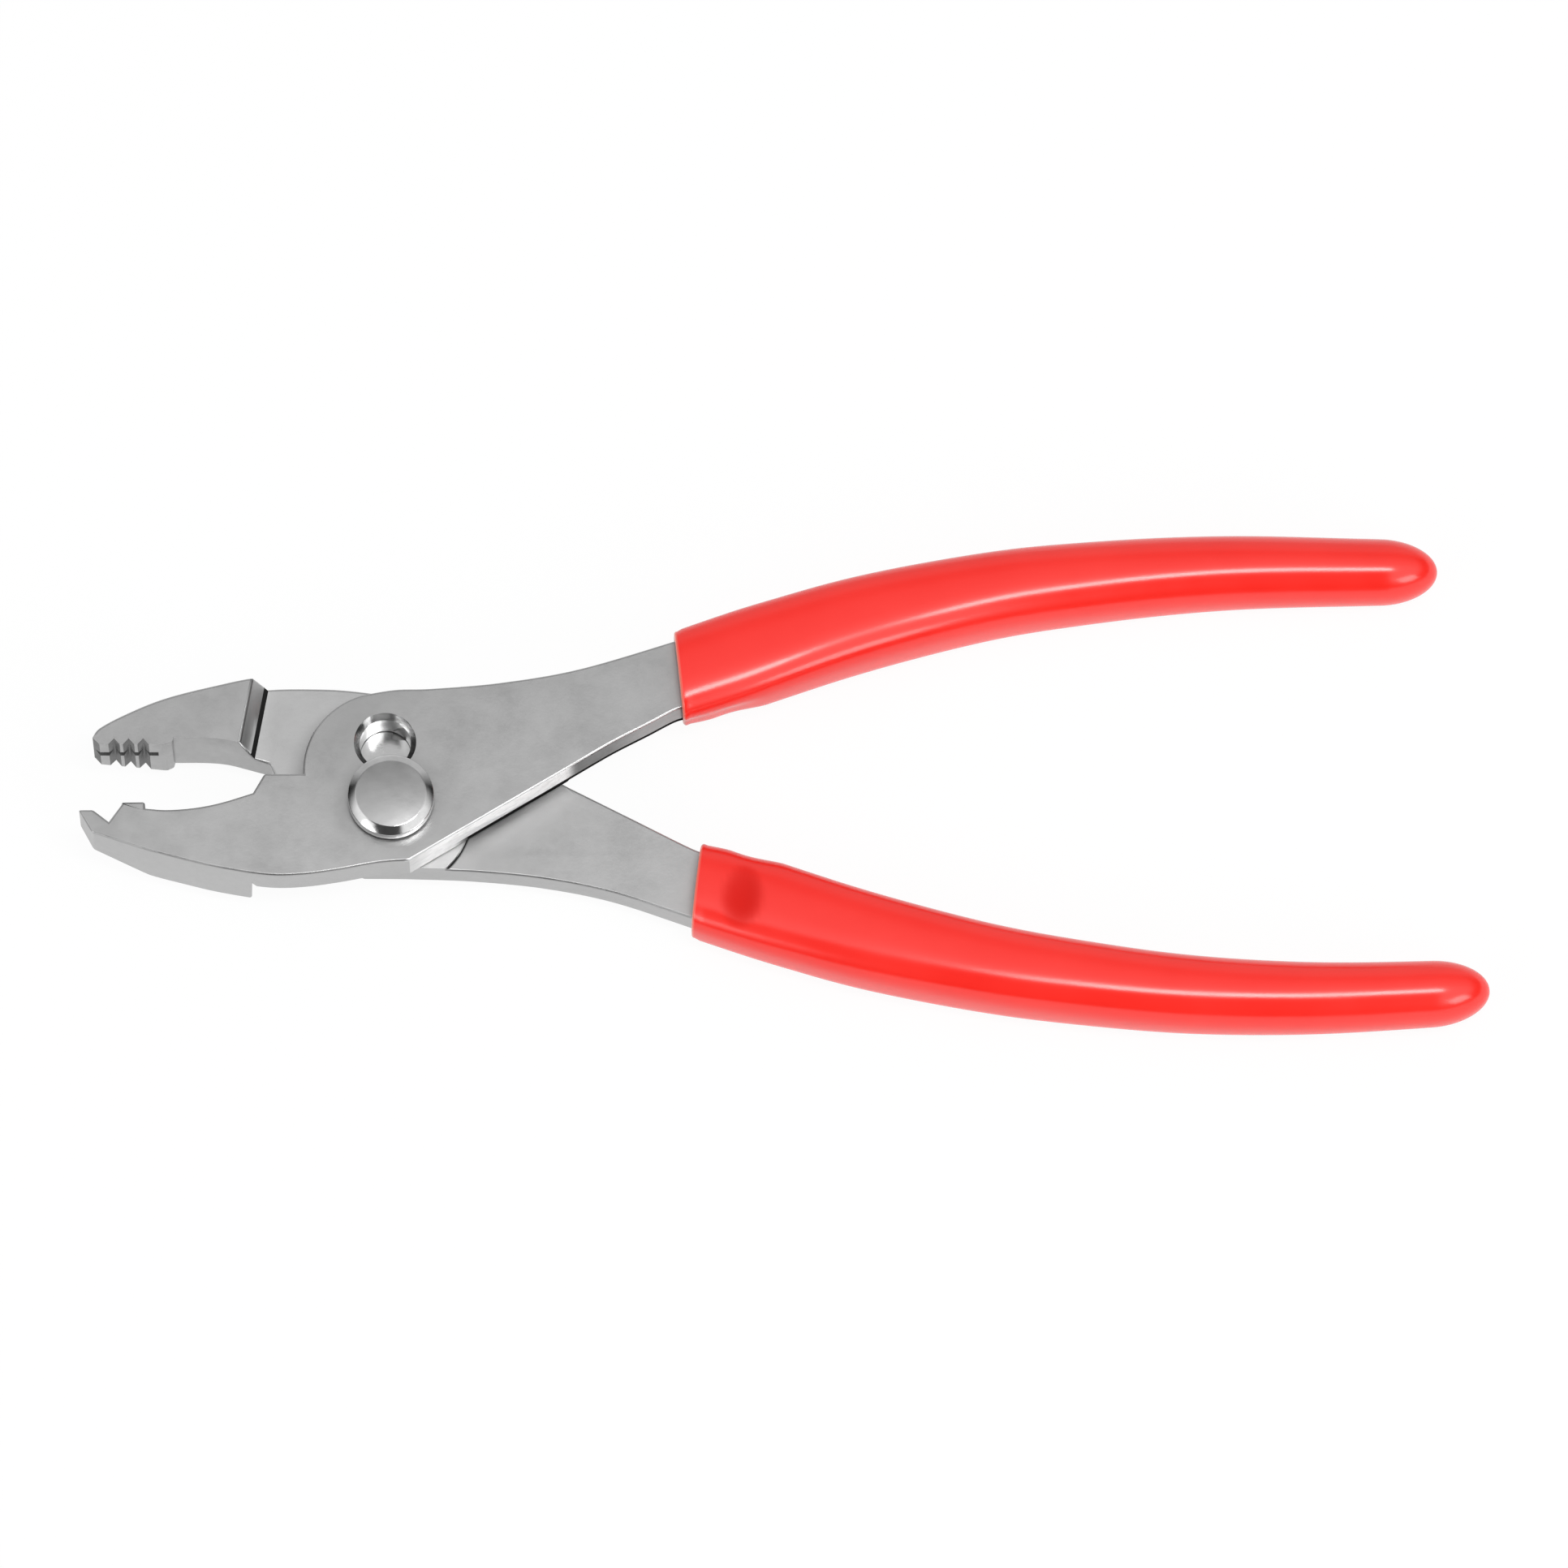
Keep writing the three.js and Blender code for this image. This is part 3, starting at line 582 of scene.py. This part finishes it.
def from_slot(point):
    """The distance in millimetres from the nearer lobe of the slip slot."""
    lobe = Vector(FREE_LOBE) / MM
    return min(point.xy.length, (point.xy - lobe).length)


def rounded_mesh(bm, material_index):
    """The mesh of bm with its weighted edges rounded, and the roundings marked by a material."""
    mesh = bpy.data.meshes.new("draft")
    bm.to_mesh(mesh)
    bm.free()
    for _ in range(material_index + 1):
        mesh.materials.append(None)
    draft = bpy.data.objects.new("draft", mesh)
    bpy.context.scene.collection.objects.link(draft)
    bevel = draft.modifiers.new("bevel", "BEVEL")
    bevel.width = EDGE_ROUND
    bevel.segments = EDGE_SEGMENTS
    bevel.limit_method = "WEIGHT"
    bevel.use_clamp_overlap = False
    bevel.loop_slide = False
    bevel.material = material_index
    graph = bpy.context.evaluated_depsgraph_get()
    result = bpy.data.meshes.new_from_object(draft.evaluated_get(graph))
    bpy.data.objects.remove(draft)
    return result


def clean_copy(node):
    """A node's solid with its triangles joined back into flat faces."""
    bm = bmesh.new()
    bm.from_mesh(frame["nodes"][node].data)
    bmesh.ops.remove_doubles(bm, verts=bm.verts, dist=WELD)
    bmesh.ops.dissolve_limit(bm, angle_limit=FLAT_ANGLE, verts=bm.verts, edges=bm.edges)
    return bm


def rounded_edges(bm, weight):
    return {edge for edge in bm.edges if edge[weight] > 0}


def is_corner(vert, rounded):
    """Whether rounded edges end, branch or turn sharply at a vertex."""
    edges = [edge for edge in vert.link_edges if edge in rounded]
    if len(edges) != 2:
        return True
    ways = [edge.other_vert(vert).co - vert.co for edge in edges]
    return math.pi - ways[0].angle(ways[1]) > CORNER_TURN


def make_room(bm, weight):
    """Draws short segments into the corner or segment beside them, so that the rounding fits."""
    for _ in range(CORNER_PASSES):
        rounded = rounded_edges(bm, weight)
        merge = {}
        for vert in bm.verts:
            edges = [edge for edge in vert.link_edges if edge in rounded]
            if not edges or not is_corner(vert, rounded):
                continue
            for edge in edges:
                other = edge.other_vert(vert)
                if edge.calc_length() < CORNER_ROOM and not is_corner(other, rounded) and other not in merge:
                    merge[other] = vert
        for edge in bm.edges:
            first, second = edge.verts
            free = edge in rounded and not any(v in merge or v in merge.values() for v in edge.verts)
            if free and edge.calc_length() < SHORT_SEGMENT and not is_corner(second, rounded):
                merge[second] = first
        if not merge:
            return
        bmesh.ops.weld_verts(bm, targetmap=merge)


def flatten(mesh):
    """Puts every vertex of a large level face back on that face's plane."""
    for face in mesh.polygons:
        if face.area > LARGE_FACE and abs(face.normal.z) > LEVEL:
            heights = sorted(mesh.vertices[i].co.z for i in face.vertices)
            level = heights[len(heights) // 2]
            if heights[-1] - heights[0] < EDGE_ROUND:
                for i in face.vertices:
                    mesh.vertices[i].co.z = level


def lever(node, body, keeps_sharp, marks, mouth_x):
    """A lever with its outer edges rounded, apart from those that keeps_sharp picks."""
    bm = clean_copy(node)
    hidden_x = mouth_x + GRIP_OVERLAP
    hidden = [v for v in bm.verts if v.co.x > mouth_x]
    inside = [edge for edge in bm.edges if all(v.co.x > mouth_x for v in edge.verts)]
    bmesh.ops.dissolve_limit(bm, angle_limit=HIDDEN_FLAT_ANGLE, verts=hidden, edges=inside)
    weight = bm.edges.layers.float.new("bevel_weight_edge")
    for edge in bm.edges:
        middle = (edge.verts[0].co + edge.verts[1].co) / 2
        shown = middle.x < hidden_x
        sharp = edge.is_convex and edge.calc_face_angle() > SHARP_ANGLE
        edge[weight] = float(shown and sharp and not keeps_sharp(middle / MM))
    make_room(bm, weight)
    edge_index = 1
    mesh = rounded_mesh(bm, edge_index)
    flatten(mesh)
    mesh.set_sharp_from_angle(angle=KEPT_ANGLE)
    for name in LEVER_MARKS:
        mesh.attributes.new(name, "FLOAT", "FACE")
    layers = {name: mesh.attributes[name].data for name in LEVER_MARKS}
    for face in mesh.polygons:
        values = marks(face.center / MM, face.normal)
        values["edge"] = float(face.material_index == edge_index)
        values["face"] = float(face.normal.z > LEVEL)
        for name, value in values.items():
            layers[name][face.index].value = value
        face.material_index = 0
        face.use_smooth = True
    obj = piece(node + "_forged", mesh, node, body, STEEL)
    even_normals(obj, LEVER_NORMAL_WEIGHT)


def front_keeps_sharp(middle):
    """The slot, the lapped back and the heel's upright edge."""
    return from_slot(middle) < SLOT_REACH or within(middle, LAP_BACK) or within(middle, HEEL_EDGE)


def front_marks(centre, normal):
    """The slot's wall is lapped by the bolt; the diagonal side is finished by grinding, with painted glare
    up to the fork and painted shade along its bottom and on the tang's side beyond.
    """
    lapped = from_slot(centre) < SLOT_REACH and abs(normal.z) < SLOT_UPRIGHT
    diagonal = normal.dot(FLANK_NORMAL) > FLANK_FACING and abs(normal.z) < UPRIGHT
    return {"lapped": float(lapped), "flank": float(diagonal and within(centre, FLANK))}


def rear_keeps_sharp(middle):
    """The cut teeth, the hollow behind them, the low step round the boss, and the boss's outline."""
    on_step = abs(middle.xy.length - STEP_RADIUS) < STEP_BAND and within(middle, STEP_EDGE)
    return on_step or any(within(middle, region) for region in (TEETH, RELIEF_EDGE, BOSS, HOLLOW))


def rear_marks(centre, normal):
    """The lapped and lowered faces round the bolt, the shoulder, which takes painted shade at its bottom,
    and the painted shade in the grooves and on the shoulder's rim.
    """
    groove = within(centre, GROOVES) and GROOVE_FACING[0] < normal.y < GROOVE_FACING[1]
    shoulder = within(centre, SHOULDER) and normal.x > SHOULDER_FACING
    rim = within(centre, SHOULDER_RIM) and normal.x > RIM_FACING
    return {"lapped": float(normal.z > UPWARD and within(centre, LAP_FACE)),
            "relief": float(normal.z > UPWARD and within(centre, RELIEF_FACE)),
            "shoulder": float(shoulder), "shade": max(GROOVE_SHADE * groove, RIM_SHADE * rim)}


# Grips

def slice_extents(node, x):
    """The lowest and highest Y and Z of a node's solid on a plane across X."""
    mesh = frame["nodes"][node].data
    co = np.array([v.co for v in mesh.vertices])
    pairs = np.array([e.vertices[:] for e in mesh.edges])
    a = co[pairs[:, 0]]
    b = co[pairs[:, 1]]
    crossing = (a[:, 0] - x) * (b[:, 0] - x) < 0
    a = a[crossing]
    b = b[crossing]
    share = (x - a[:, 0]) / (b[:, 0] - a[:, 0])
    points = a + (b - a) * share[:, None]
    return points[:, 1].min(), points[:, 1].max(), points[:, 2].min(), points[:, 2].max()


def smoothed(values, passes):
    """Evens out the facets of a sampled profile, ends kept."""
    result = np.array(values)
    for _ in range(passes):
        result[1:-1] = (result[:-2] + 2 * result[1:-1] + result[2:]) / 4
    return result


class Sleeve:
    """The sampled centre line and half sizes of one grip, as values along X."""

    def __init__(self, node, mouth_x):
        self.mouth = mouth_x
        self.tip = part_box(node)[1].x
        self.round_from = self.tip - END_ROUND
        self.xs = np.linspace(mouth_x + SAMPLE_FROM_MOUTH, self.round_from - SAMPLE_BEFORE_END,
                              PROFILE_SAMPLES)
        extents = np.array([slice_extents(node, x) for x in self.xs])
        passes = (PROFILE_SMOOTHING, PROFILE_SMOOTHING, DEPTH_SMOOTHING, DEPTH_SMOOTHING)
        low_y, high_y, low_z, high_z = [smoothed(column, n) for column, n in zip(extents.T, passes)]
        self.y = (low_y + high_y) / 2
        self.half_y = (high_y - low_y) / 2
        self.z = (low_z + high_z) / 2
        self.half_z = (high_z - low_z) / 2

    def at(self, x):
        """Centre Y and Z and half sizes at X, straight on past both ends."""
        return [self.read(values, x) for values in (self.y, self.z, self.half_y, self.half_z)]

    def read(self, values, x):
        xs = self.xs
        if x < xs[0]:
            slope = (values[MOUTH_SLOPE_SAMPLES] - values[0]) / (xs[MOUTH_SLOPE_SAMPLES] - xs[0])
            return values[0] + slope * (x - xs[0])
        if x > xs[-1]:
            back = -1 - END_SLOPE_SAMPLES
            slope = (values[-1] - values[back]) / (xs[-1] - xs[back])
            return values[-1] + slope * (x - xs[-1])
        return float(np.interp(x, xs, values))


def hump(x, middle, reach):
    """A smooth bump of height 1 at middle that fades out at reach."""
    t = min(abs(x - middle) / reach, 1)
    return (1 - t * t) ** 2


def squareness_at(share):
    """How square a grip's section is, from the flat tang at the mouth to the round end."""
    eased = share * share * (3 - 2 * share)
    return MOUTH_SQUARENESS + (END_SQUARENESS - MOUTH_SQUARENESS) * eased


def squared(turn, squareness):
    """A point of a rounded square of half size 1: to the side and upwards."""
    side = math.copysign(abs(math.cos(turn)) ** (2 / squareness), math.cos(turn))
    rise = math.copysign(abs(math.sin(turn)) ** (2 / squareness), math.sin(turn))
    return side, rise


class GripSkin:
    """The rings of a dipped sleeve, from the pocket's end out over the lip to the round tip."""

    def __init__(self, sleeve, slant, inner_side, press_at):
        self.sleeve = sleeve
        self.slant = slant
        self.inner_side = inner_side
        self.press_at = press_at
        self.bm = bmesh.new()
        self.press_mark = self.bm.verts.layers.float.new("press")
        self.lip_mark = self.bm.verts.layers.float.new("lip")
        self.rings = []

    def drawn_in(self, x, side, rise):
        """How far the side that faces the other grip is drawn in near the mouth."""
        inward = max(0.0, side * self.inner_side)
        if self.inner_side < 0:
            inward *= 1 - min(max(rise, 0.0) / PINCH_TOP, 1)
        depth = MOUTH_TRIM * hump(x, self.sleeve.mouth, TRIM_REACH)
        depth += PINCH_DEPTH * hump(x, self.sleeve.mouth + PINCH_FROM_MOUTH, PINCH_REACH)
        return inward * depth

    def pressed(self, x, y, rise):
        """The share and the depth of the pressed oval at a point of the upper face."""
        if self.press_at is None or rise <= 0:
            return 0.0, 0.0
        middle_x, middle_y = self.press_at
        away = math.hypot((x - middle_x) / PRESS_HALF_LENGTH, (y - middle_y) / PRESS_HALF_WIDTH)
        if away >= 1:
            return 0.0, 0.0
        return 1 - away ** 4, PRESS_DEPTH * (1 - away * away) ** 2

    def ring(self, x, squareness, inset=(0, 0), shift=0, lip=0.0, outer=True):
        centre_y, centre_z, half_y, half_z = self.sleeve.at(x)
        slanted = min(max(0.0, 1 - (x - self.sleeve.mouth) / SLANT_REACH), 1)
        verts = []
        for i in range(GRIP_SIDES):
            side, rise = squared(2 * math.pi * i / GRIP_SIDES, squareness)
            y = (half_y - inset[0]) * side
            z = (half_z - inset[1]) * rise
            lean = math.tan(self.slant) * y * slanted
            press = 0.0
            if outer:
                y -= self.inner_side * self.drawn_in(x, side, rise)
                press, depth = self.pressed(x, centre_y + y, rise)
                z -= depth
            vert = self.bm.verts.new((x + shift + lean, centre_y + y, centre_z + z))
            vert[self.press_mark] = press
            vert[self.lip_mark] = lip
            verts.append(vert)
        self.rings.append(verts)

    def pocket(self):
        deep = self.sleeve.tip - POCKET_END_WALL
        open_end = self.sleeve.mouth + POCKET_FROM_MOUTH
        for i in range(POCKET_RINGS):
            x = deep + (open_end - deep) * i / (POCKET_RINGS - 1)
            self.ring(x, POCKET_SQUARENESS, (GRIP_SIDE_WALL, GRIP_FACE_WALL), outer=False)

    def lip(self):
        turns = [math.pi / 2 * i / LIP_STEPS for i in range(LIP_STEPS + 1)]
        for turn in turns:
            back = LIP_ROUND * (1 - math.sin(turn))
            inset = (GRIP_SIDE_WALL - LIP_ROUND + back, GRIP_FACE_WALL - LIP_ROUND + back)
            self.ring(self.sleeve.mouth, LIP_SQUARENESS, inset, back, LIP_INSIDE_MARK)
        for i, turn in enumerate(turns):
            inset = LIP_ROUND * (1 - math.sin(turn))
            back = LIP_ROUND * (1 - math.cos(turn))
            self.ring(self.sleeve.mouth, MOUTH_SQUARENESS, (inset, inset), back, 1 - i / LIP_STEPS)

    def outside(self):
        start = self.sleeve.mouth + LIP_ROUND
        for i in range(1, GRIP_RINGS + 1):
            x = start + (self.sleeve.round_from - start) * i / GRIP_RINGS
            self.ring(x, squareness_at(i / GRIP_RINGS))

    def end(self):
        for i in range(1, END_STEPS):
            turn = math.pi / 2 * i / END_STEPS
            x = self.sleeve.round_from + END_ROUND * math.sin(turn)
            half_y, half_z = self.sleeve.at(x)[2:]
            lost = 1 - math.cos(turn)
            self.ring(x, END_SQUARENESS, (half_y * lost, half_z * lost))

    def mesh(self, name):
        for before, after in zip(self.rings, self.rings[1:]):
            bridge(self.bm, before, after)
        self.bm.faces.new(list(reversed(self.rings[0])))
        self.bm.faces.new(self.rings[-1])
        return smooth_mesh(self.bm, name)


def grip(node, body, mouth_x, slant, inner_side, press_at=None):
    """A dipped sleeve: pocket skin, rounded lip, outer skin and round end, closed all round."""
    skin = GripSkin(Sleeve(node, mouth_x), slant, inner_side, press_at)
    skin.pocket()
    skin.lip()
    skin.outside()
    skin.end()
    name = node + "_dipped"
    piece(name, skin.mesh(name), node, body, VINYL)


# Bolt and nut

def filleted(profile):
    """A profile of radius and height pairs with its inner corners rounded."""
    result = [profile[0]]
    for before, corner, after in zip(profile, profile[1:], profile[2:]):
        here = Vector(corner)
        back = Vector(before) - here
        ahead = Vector(after) - here
        reach = min(HEAD_FILLET, back.length * FILLET_ROOM, ahead.length * FILLET_ROOM)
        start = here + back.normalized() * reach
        stop = here + ahead.normalized() * reach
        for i in range(FILLET_STEPS + 1):
            t = i / FILLET_STEPS
            result.append(tuple(start * (1 - t) ** 2 + here * 2 * t * (1 - t) + stop * t * t))
    result.append(profile[-1])
    return result


def ring_mesh(name, rings, top_mark, capped):
    """A closed skin over rings of equal count, capped to points or else joined end to start."""
    bm = bmesh.new()
    layer = bm.verts.layers.float.new("top")
    loops = [[bm.verts.new(point) for point in ring] for ring in rings]
    following = loops[1:] if capped else loops[1:] + loops[:1]
    for before, after in zip(loops, following):
        bridge(bm, before, after)
    if capped:
        for loop in (loops[0], loops[-1]):
            tip = bm.verts.new(sum((v.co for v in loop), Vector()) / len(loop))
            for i in range(len(loop)):
                bm.faces.new((loop[i], loop[(i + 1) % len(loop)], tip))
    for vert in bm.verts:
        vert[layer] = top_mark(vert.co)
    return smooth_mesh(bm, name)


def turns():
    return [2 * math.pi * i / TURN_STEPS for i in range(TURN_STEPS)]


def bolt():
    """The shank, the neck with two flats in the slot, and the bevelled head with a low crown."""
    low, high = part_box("pivot_bolt")
    front_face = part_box("front_lever")[1].z
    base = (high.x - low.x) / 2
    seat = front_face + HEAD_LIFT
    rim = seat + (high.z - seat) * HEAD_RIM_SHARE
    neck_low = front_face - NECK_LENGTH
    top = base * HEAD_TOP_SHARE
    crown_from = top * CROWN_START

    def on_crown(radius):
        return radius, high.z - HEAD_CROWN * (radius / top) ** 2

    profile = [(AXIS_RADIUS, low.z), (SHANK_RADIUS, low.z), (SHANK_RADIUS, neck_low),
               (SHANK_RADIUS, neck_low + NECK_STEP), (SHANK_RADIUS, seat), (base, seat), (base, rim),
               on_crown(top), on_crown(crown_from)]
    profile = filleted(profile)
    for i in range(CROWN_STEPS):
        profile.append(on_crown(crown_from * (1 - (i + 1) / (CROWN_STEPS + LAST_CROWN_STEP))))
    rings = []
    for radius, height in profile:
        flat = neck_low < height < seat and radius <= SHANK_RADIUS
        half = NECK_ACROSS_FLATS / 2 if flat else radius
        ring = []
        for turn in turns():
            x = max(-half, min(half, radius * math.cos(turn)))
            y = radius * math.sin(turn)
            ring.append((x * math.cos(SLOT_LEAN) - y * math.sin(SLOT_LEAN),
                         x * math.sin(SLOT_LEAN) + y * math.cos(SLOT_LEAN), height))
        rings.append(ring)

    def top_mark(point):
        return float(point.z > high.z - 2 * HEAD_CROWN and point.xy.length < top * TOP_MARK_SHARE)

    mesh = ring_mesh("bolt", rings, top_mark, capped=True)
    piece("pivot_bolt_turned", mesh, "pivot_bolt", "pivot", BOLT)


def nut():
    """The hex nut, chamfered where it faces the bench, with both rims of its bore broken."""
    low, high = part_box("pivot_nut")
    wide = high.x - low.x
    deep = high.y - low.y
    flats = min(wide, deep) / 2
    corner = flats / math.cos(SIXTH / 2)
    offset = 0 if wide < deep else SIXTH / 2

    def outer(turn, z):
        away = (turn + offset) % SIXTH - SIXTH / 2
        hexagon = flats / math.cos(SIXTH / 2 - abs(away))
        cone = flats + (z - low.z) * (corner - flats) / NUT_CHAMFER
        return min(hexagon, corner - CORNER_TRIM, cone)

    def upper_rim(turn, z):
        return outer(turn, z) - CORNER_TRIM

    def broken_bore(turn, z):
        return NUT_BORE + BORE_BREAK

    def bore(turn, z):
        return NUT_BORE

    levels = [low.z + NUT_CHAMFER * i / CHAMFER_STEPS for i in range(CHAMFER_STEPS + 1)]
    levels.append(high.z - CORNER_TRIM)
    outline = [(low.z, broken_bore), *((z, outer) for z in levels), (high.z, upper_rim),
               (high.z, broken_bore), (high.z - BORE_BREAK, bore), (low.z + BORE_BREAK, bore)]
    rings = []
    for z, radius_at in outline:
        rings.append([(radius_at(turn, z) * math.cos(turn), radius_at(turn, z) * math.sin(turn), z)
                      for turn in turns()])
    mesh = ring_mesh("nut", rings, lambda point: NUT_TOP_MARK, capped=False)
    obj = piece("pivot_nut_turned", mesh, "pivot_nut", "pivot", BOLT)
    even_normals(obj, NUT_NORMAL_WEIGHT)


# Stage

def floor():
    """White paper that keeps the soft shadow."""
    bpy.ops.mesh.primitive_plane_add(size=FLOOR_SIZE, location=FLOOR_PLACE)
    plane = bpy.context.active_object
    plane.name = "studio_floor"
    n = Nodes("studio_floor")
    path = n.add("ShaderNodeLightPath")
    seen = n.math("MAXIMUM", path.outputs["Is Camera Ray"], path.outputs["Is Transmission Ray"])
    seen = n.math("MAXIMUM", seen, n.product(path.outputs["Is Glossy Ray"], PAPER_GLOSS))
    paper = n.add("ShaderNodeBsdfDiffuse")
    paper.inputs["Color"].default_value = (*grey(PAPER_TONE), 1)
    glow = n.add("ShaderNodeEmission")
    mix = n.add("ShaderNodeMixShader")
    n.link(n.product(seen, PAPER_GLOW), mix.inputs[0])
    n.link(paper.outputs[0], mix.inputs[1])
    n.link(glow.outputs[0], mix.inputs[2])
    plane.data.materials.append(n.surface(mix.outputs[0]))


def world():
    """A pale ceiling that falls to a dark horizon, with a dark strip on the camera's side."""
    n = Nodes("studio_world", world=True)
    direction = n.add("ShaderNodeTexCoord").outputs["Generated"]
    x, y, z = [n.axis(direction, letter) for letter in "XYZ"]
    outward = n.remap(n.math("ABSOLUTE", x), OUTWARD_BAND, REVERSED)
    sky = n.product(n.remap(z, CEILING_BAND, CEILING_LEVELS), n.remap(y, FRONT_BAND, FRONT_GAINS),
                    n.math("MAXIMUM", n.remap(z, LOW_BAND, LOW_SHARES), outward))
    sky = n.math("MAXIMUM", sky, n.remap(y, BACK_BAND, (0, BACK_LEVEL)))
    aside = n.math("ABSOLUTE", n.math("SUBTRACT", x, STRIP_MIDDLE))
    strip = n.product(n.remap(aside, STRIP_BAND, REVERSED), n.remap(y, STRIP_FRONT_BAND, WHOLE))
    sky = n.product(sky, n.remap(strip, WHOLE, (1, STRIP_SHARE)))
    path = n.add("ShaderNodeLightPath")
    background = n.add("ShaderNodeBackground")
    n.link(n.math("MAXIMUM", sky, path.outputs["Is Camera Ray"]), background.inputs["Strength"])
    output = n.add("ShaderNodeOutputWorld")
    n.link(background.outputs[0], output.inputs["Surface"])
    bpy.context.scene.world = n.owner


def softbox(name, azimuth, elevation, aside, width, height, level):
    """A flat lamp that faces the middle of the object or beside it; level is its radiance."""
    a = math.radians(azimuth)
    e = math.radians(elevation)
    away = Vector((math.sin(a) * math.cos(e), -math.cos(a) * math.cos(e), math.sin(e)))
    lamp = bpy.data.lights.new(name, "AREA")
    lamp.shape = "RECTANGLE"
    lamp.size = width
    lamp.size_y = height
    lamp.energy = level * math.pi * width * height
    obj = bpy.data.objects.new(name, lamp)
    obj.location = AIM + away * LAMP_DISTANCE + Vector((aside, 0, 0))
    obj.rotation_euler = away.to_track_quat("Z", "Y").to_euler()
    bpy.context.scene.collection.objects.link(obj)


def camera():
    away = Vector((0, -math.cos(CAMERA_ELEVATION), math.sin(CAMERA_ELEVATION)))
    data = bpy.data.cameras.new("camera")
    data.sensor_width = SENSOR
    data.lens = SENSOR * CAMERA_DISTANCE * PIXELS_PER_METRE / IMAGE_PIXELS
    obj = bpy.data.objects.new("camera", data)
    obj.location = AIM + away * CAMERA_DISTANCE
    obj.rotation_euler = away.to_track_quat("Z", "Y").to_euler()
    bpy.context.scene.collection.objects.link(obj)
    bpy.context.scene.camera = obj


camera()
STEEL = lever_steel()
BOLT = bolt_steel()
VINYL = grip_vinyl()
lever("front_lever", "front_half", front_keeps_sharp, front_marks, UPPER_MOUTH_X)
lever("rear_lever", "rear_half", rear_keeps_sharp, rear_marks, LOWER_MOUTH_X)
grip("upper_grip", "front_half", UPPER_MOUTH_X, -MOUTH_SLANT, inner_side=-1)
grip("lower_grip", "rear_half", LOWER_MOUTH_X, MOUTH_SLANT, inner_side=1, press_at=PRESS_AT)
bolt()
nut()
floor()
world()
softbox("key", azimuth=0, elevation=80, aside=0.27, width=0.52, height=0.2, level=15)
softbox("left", azimuth=-47, elevation=26, aside=0, width=0.55, height=0.45, level=3)
softbox("right", azimuth=50, elevation=22, aside=0, width=0.6, height=0.4, level=4.5)
bpy.context.scene.view_settings.view_transform = "Standard"
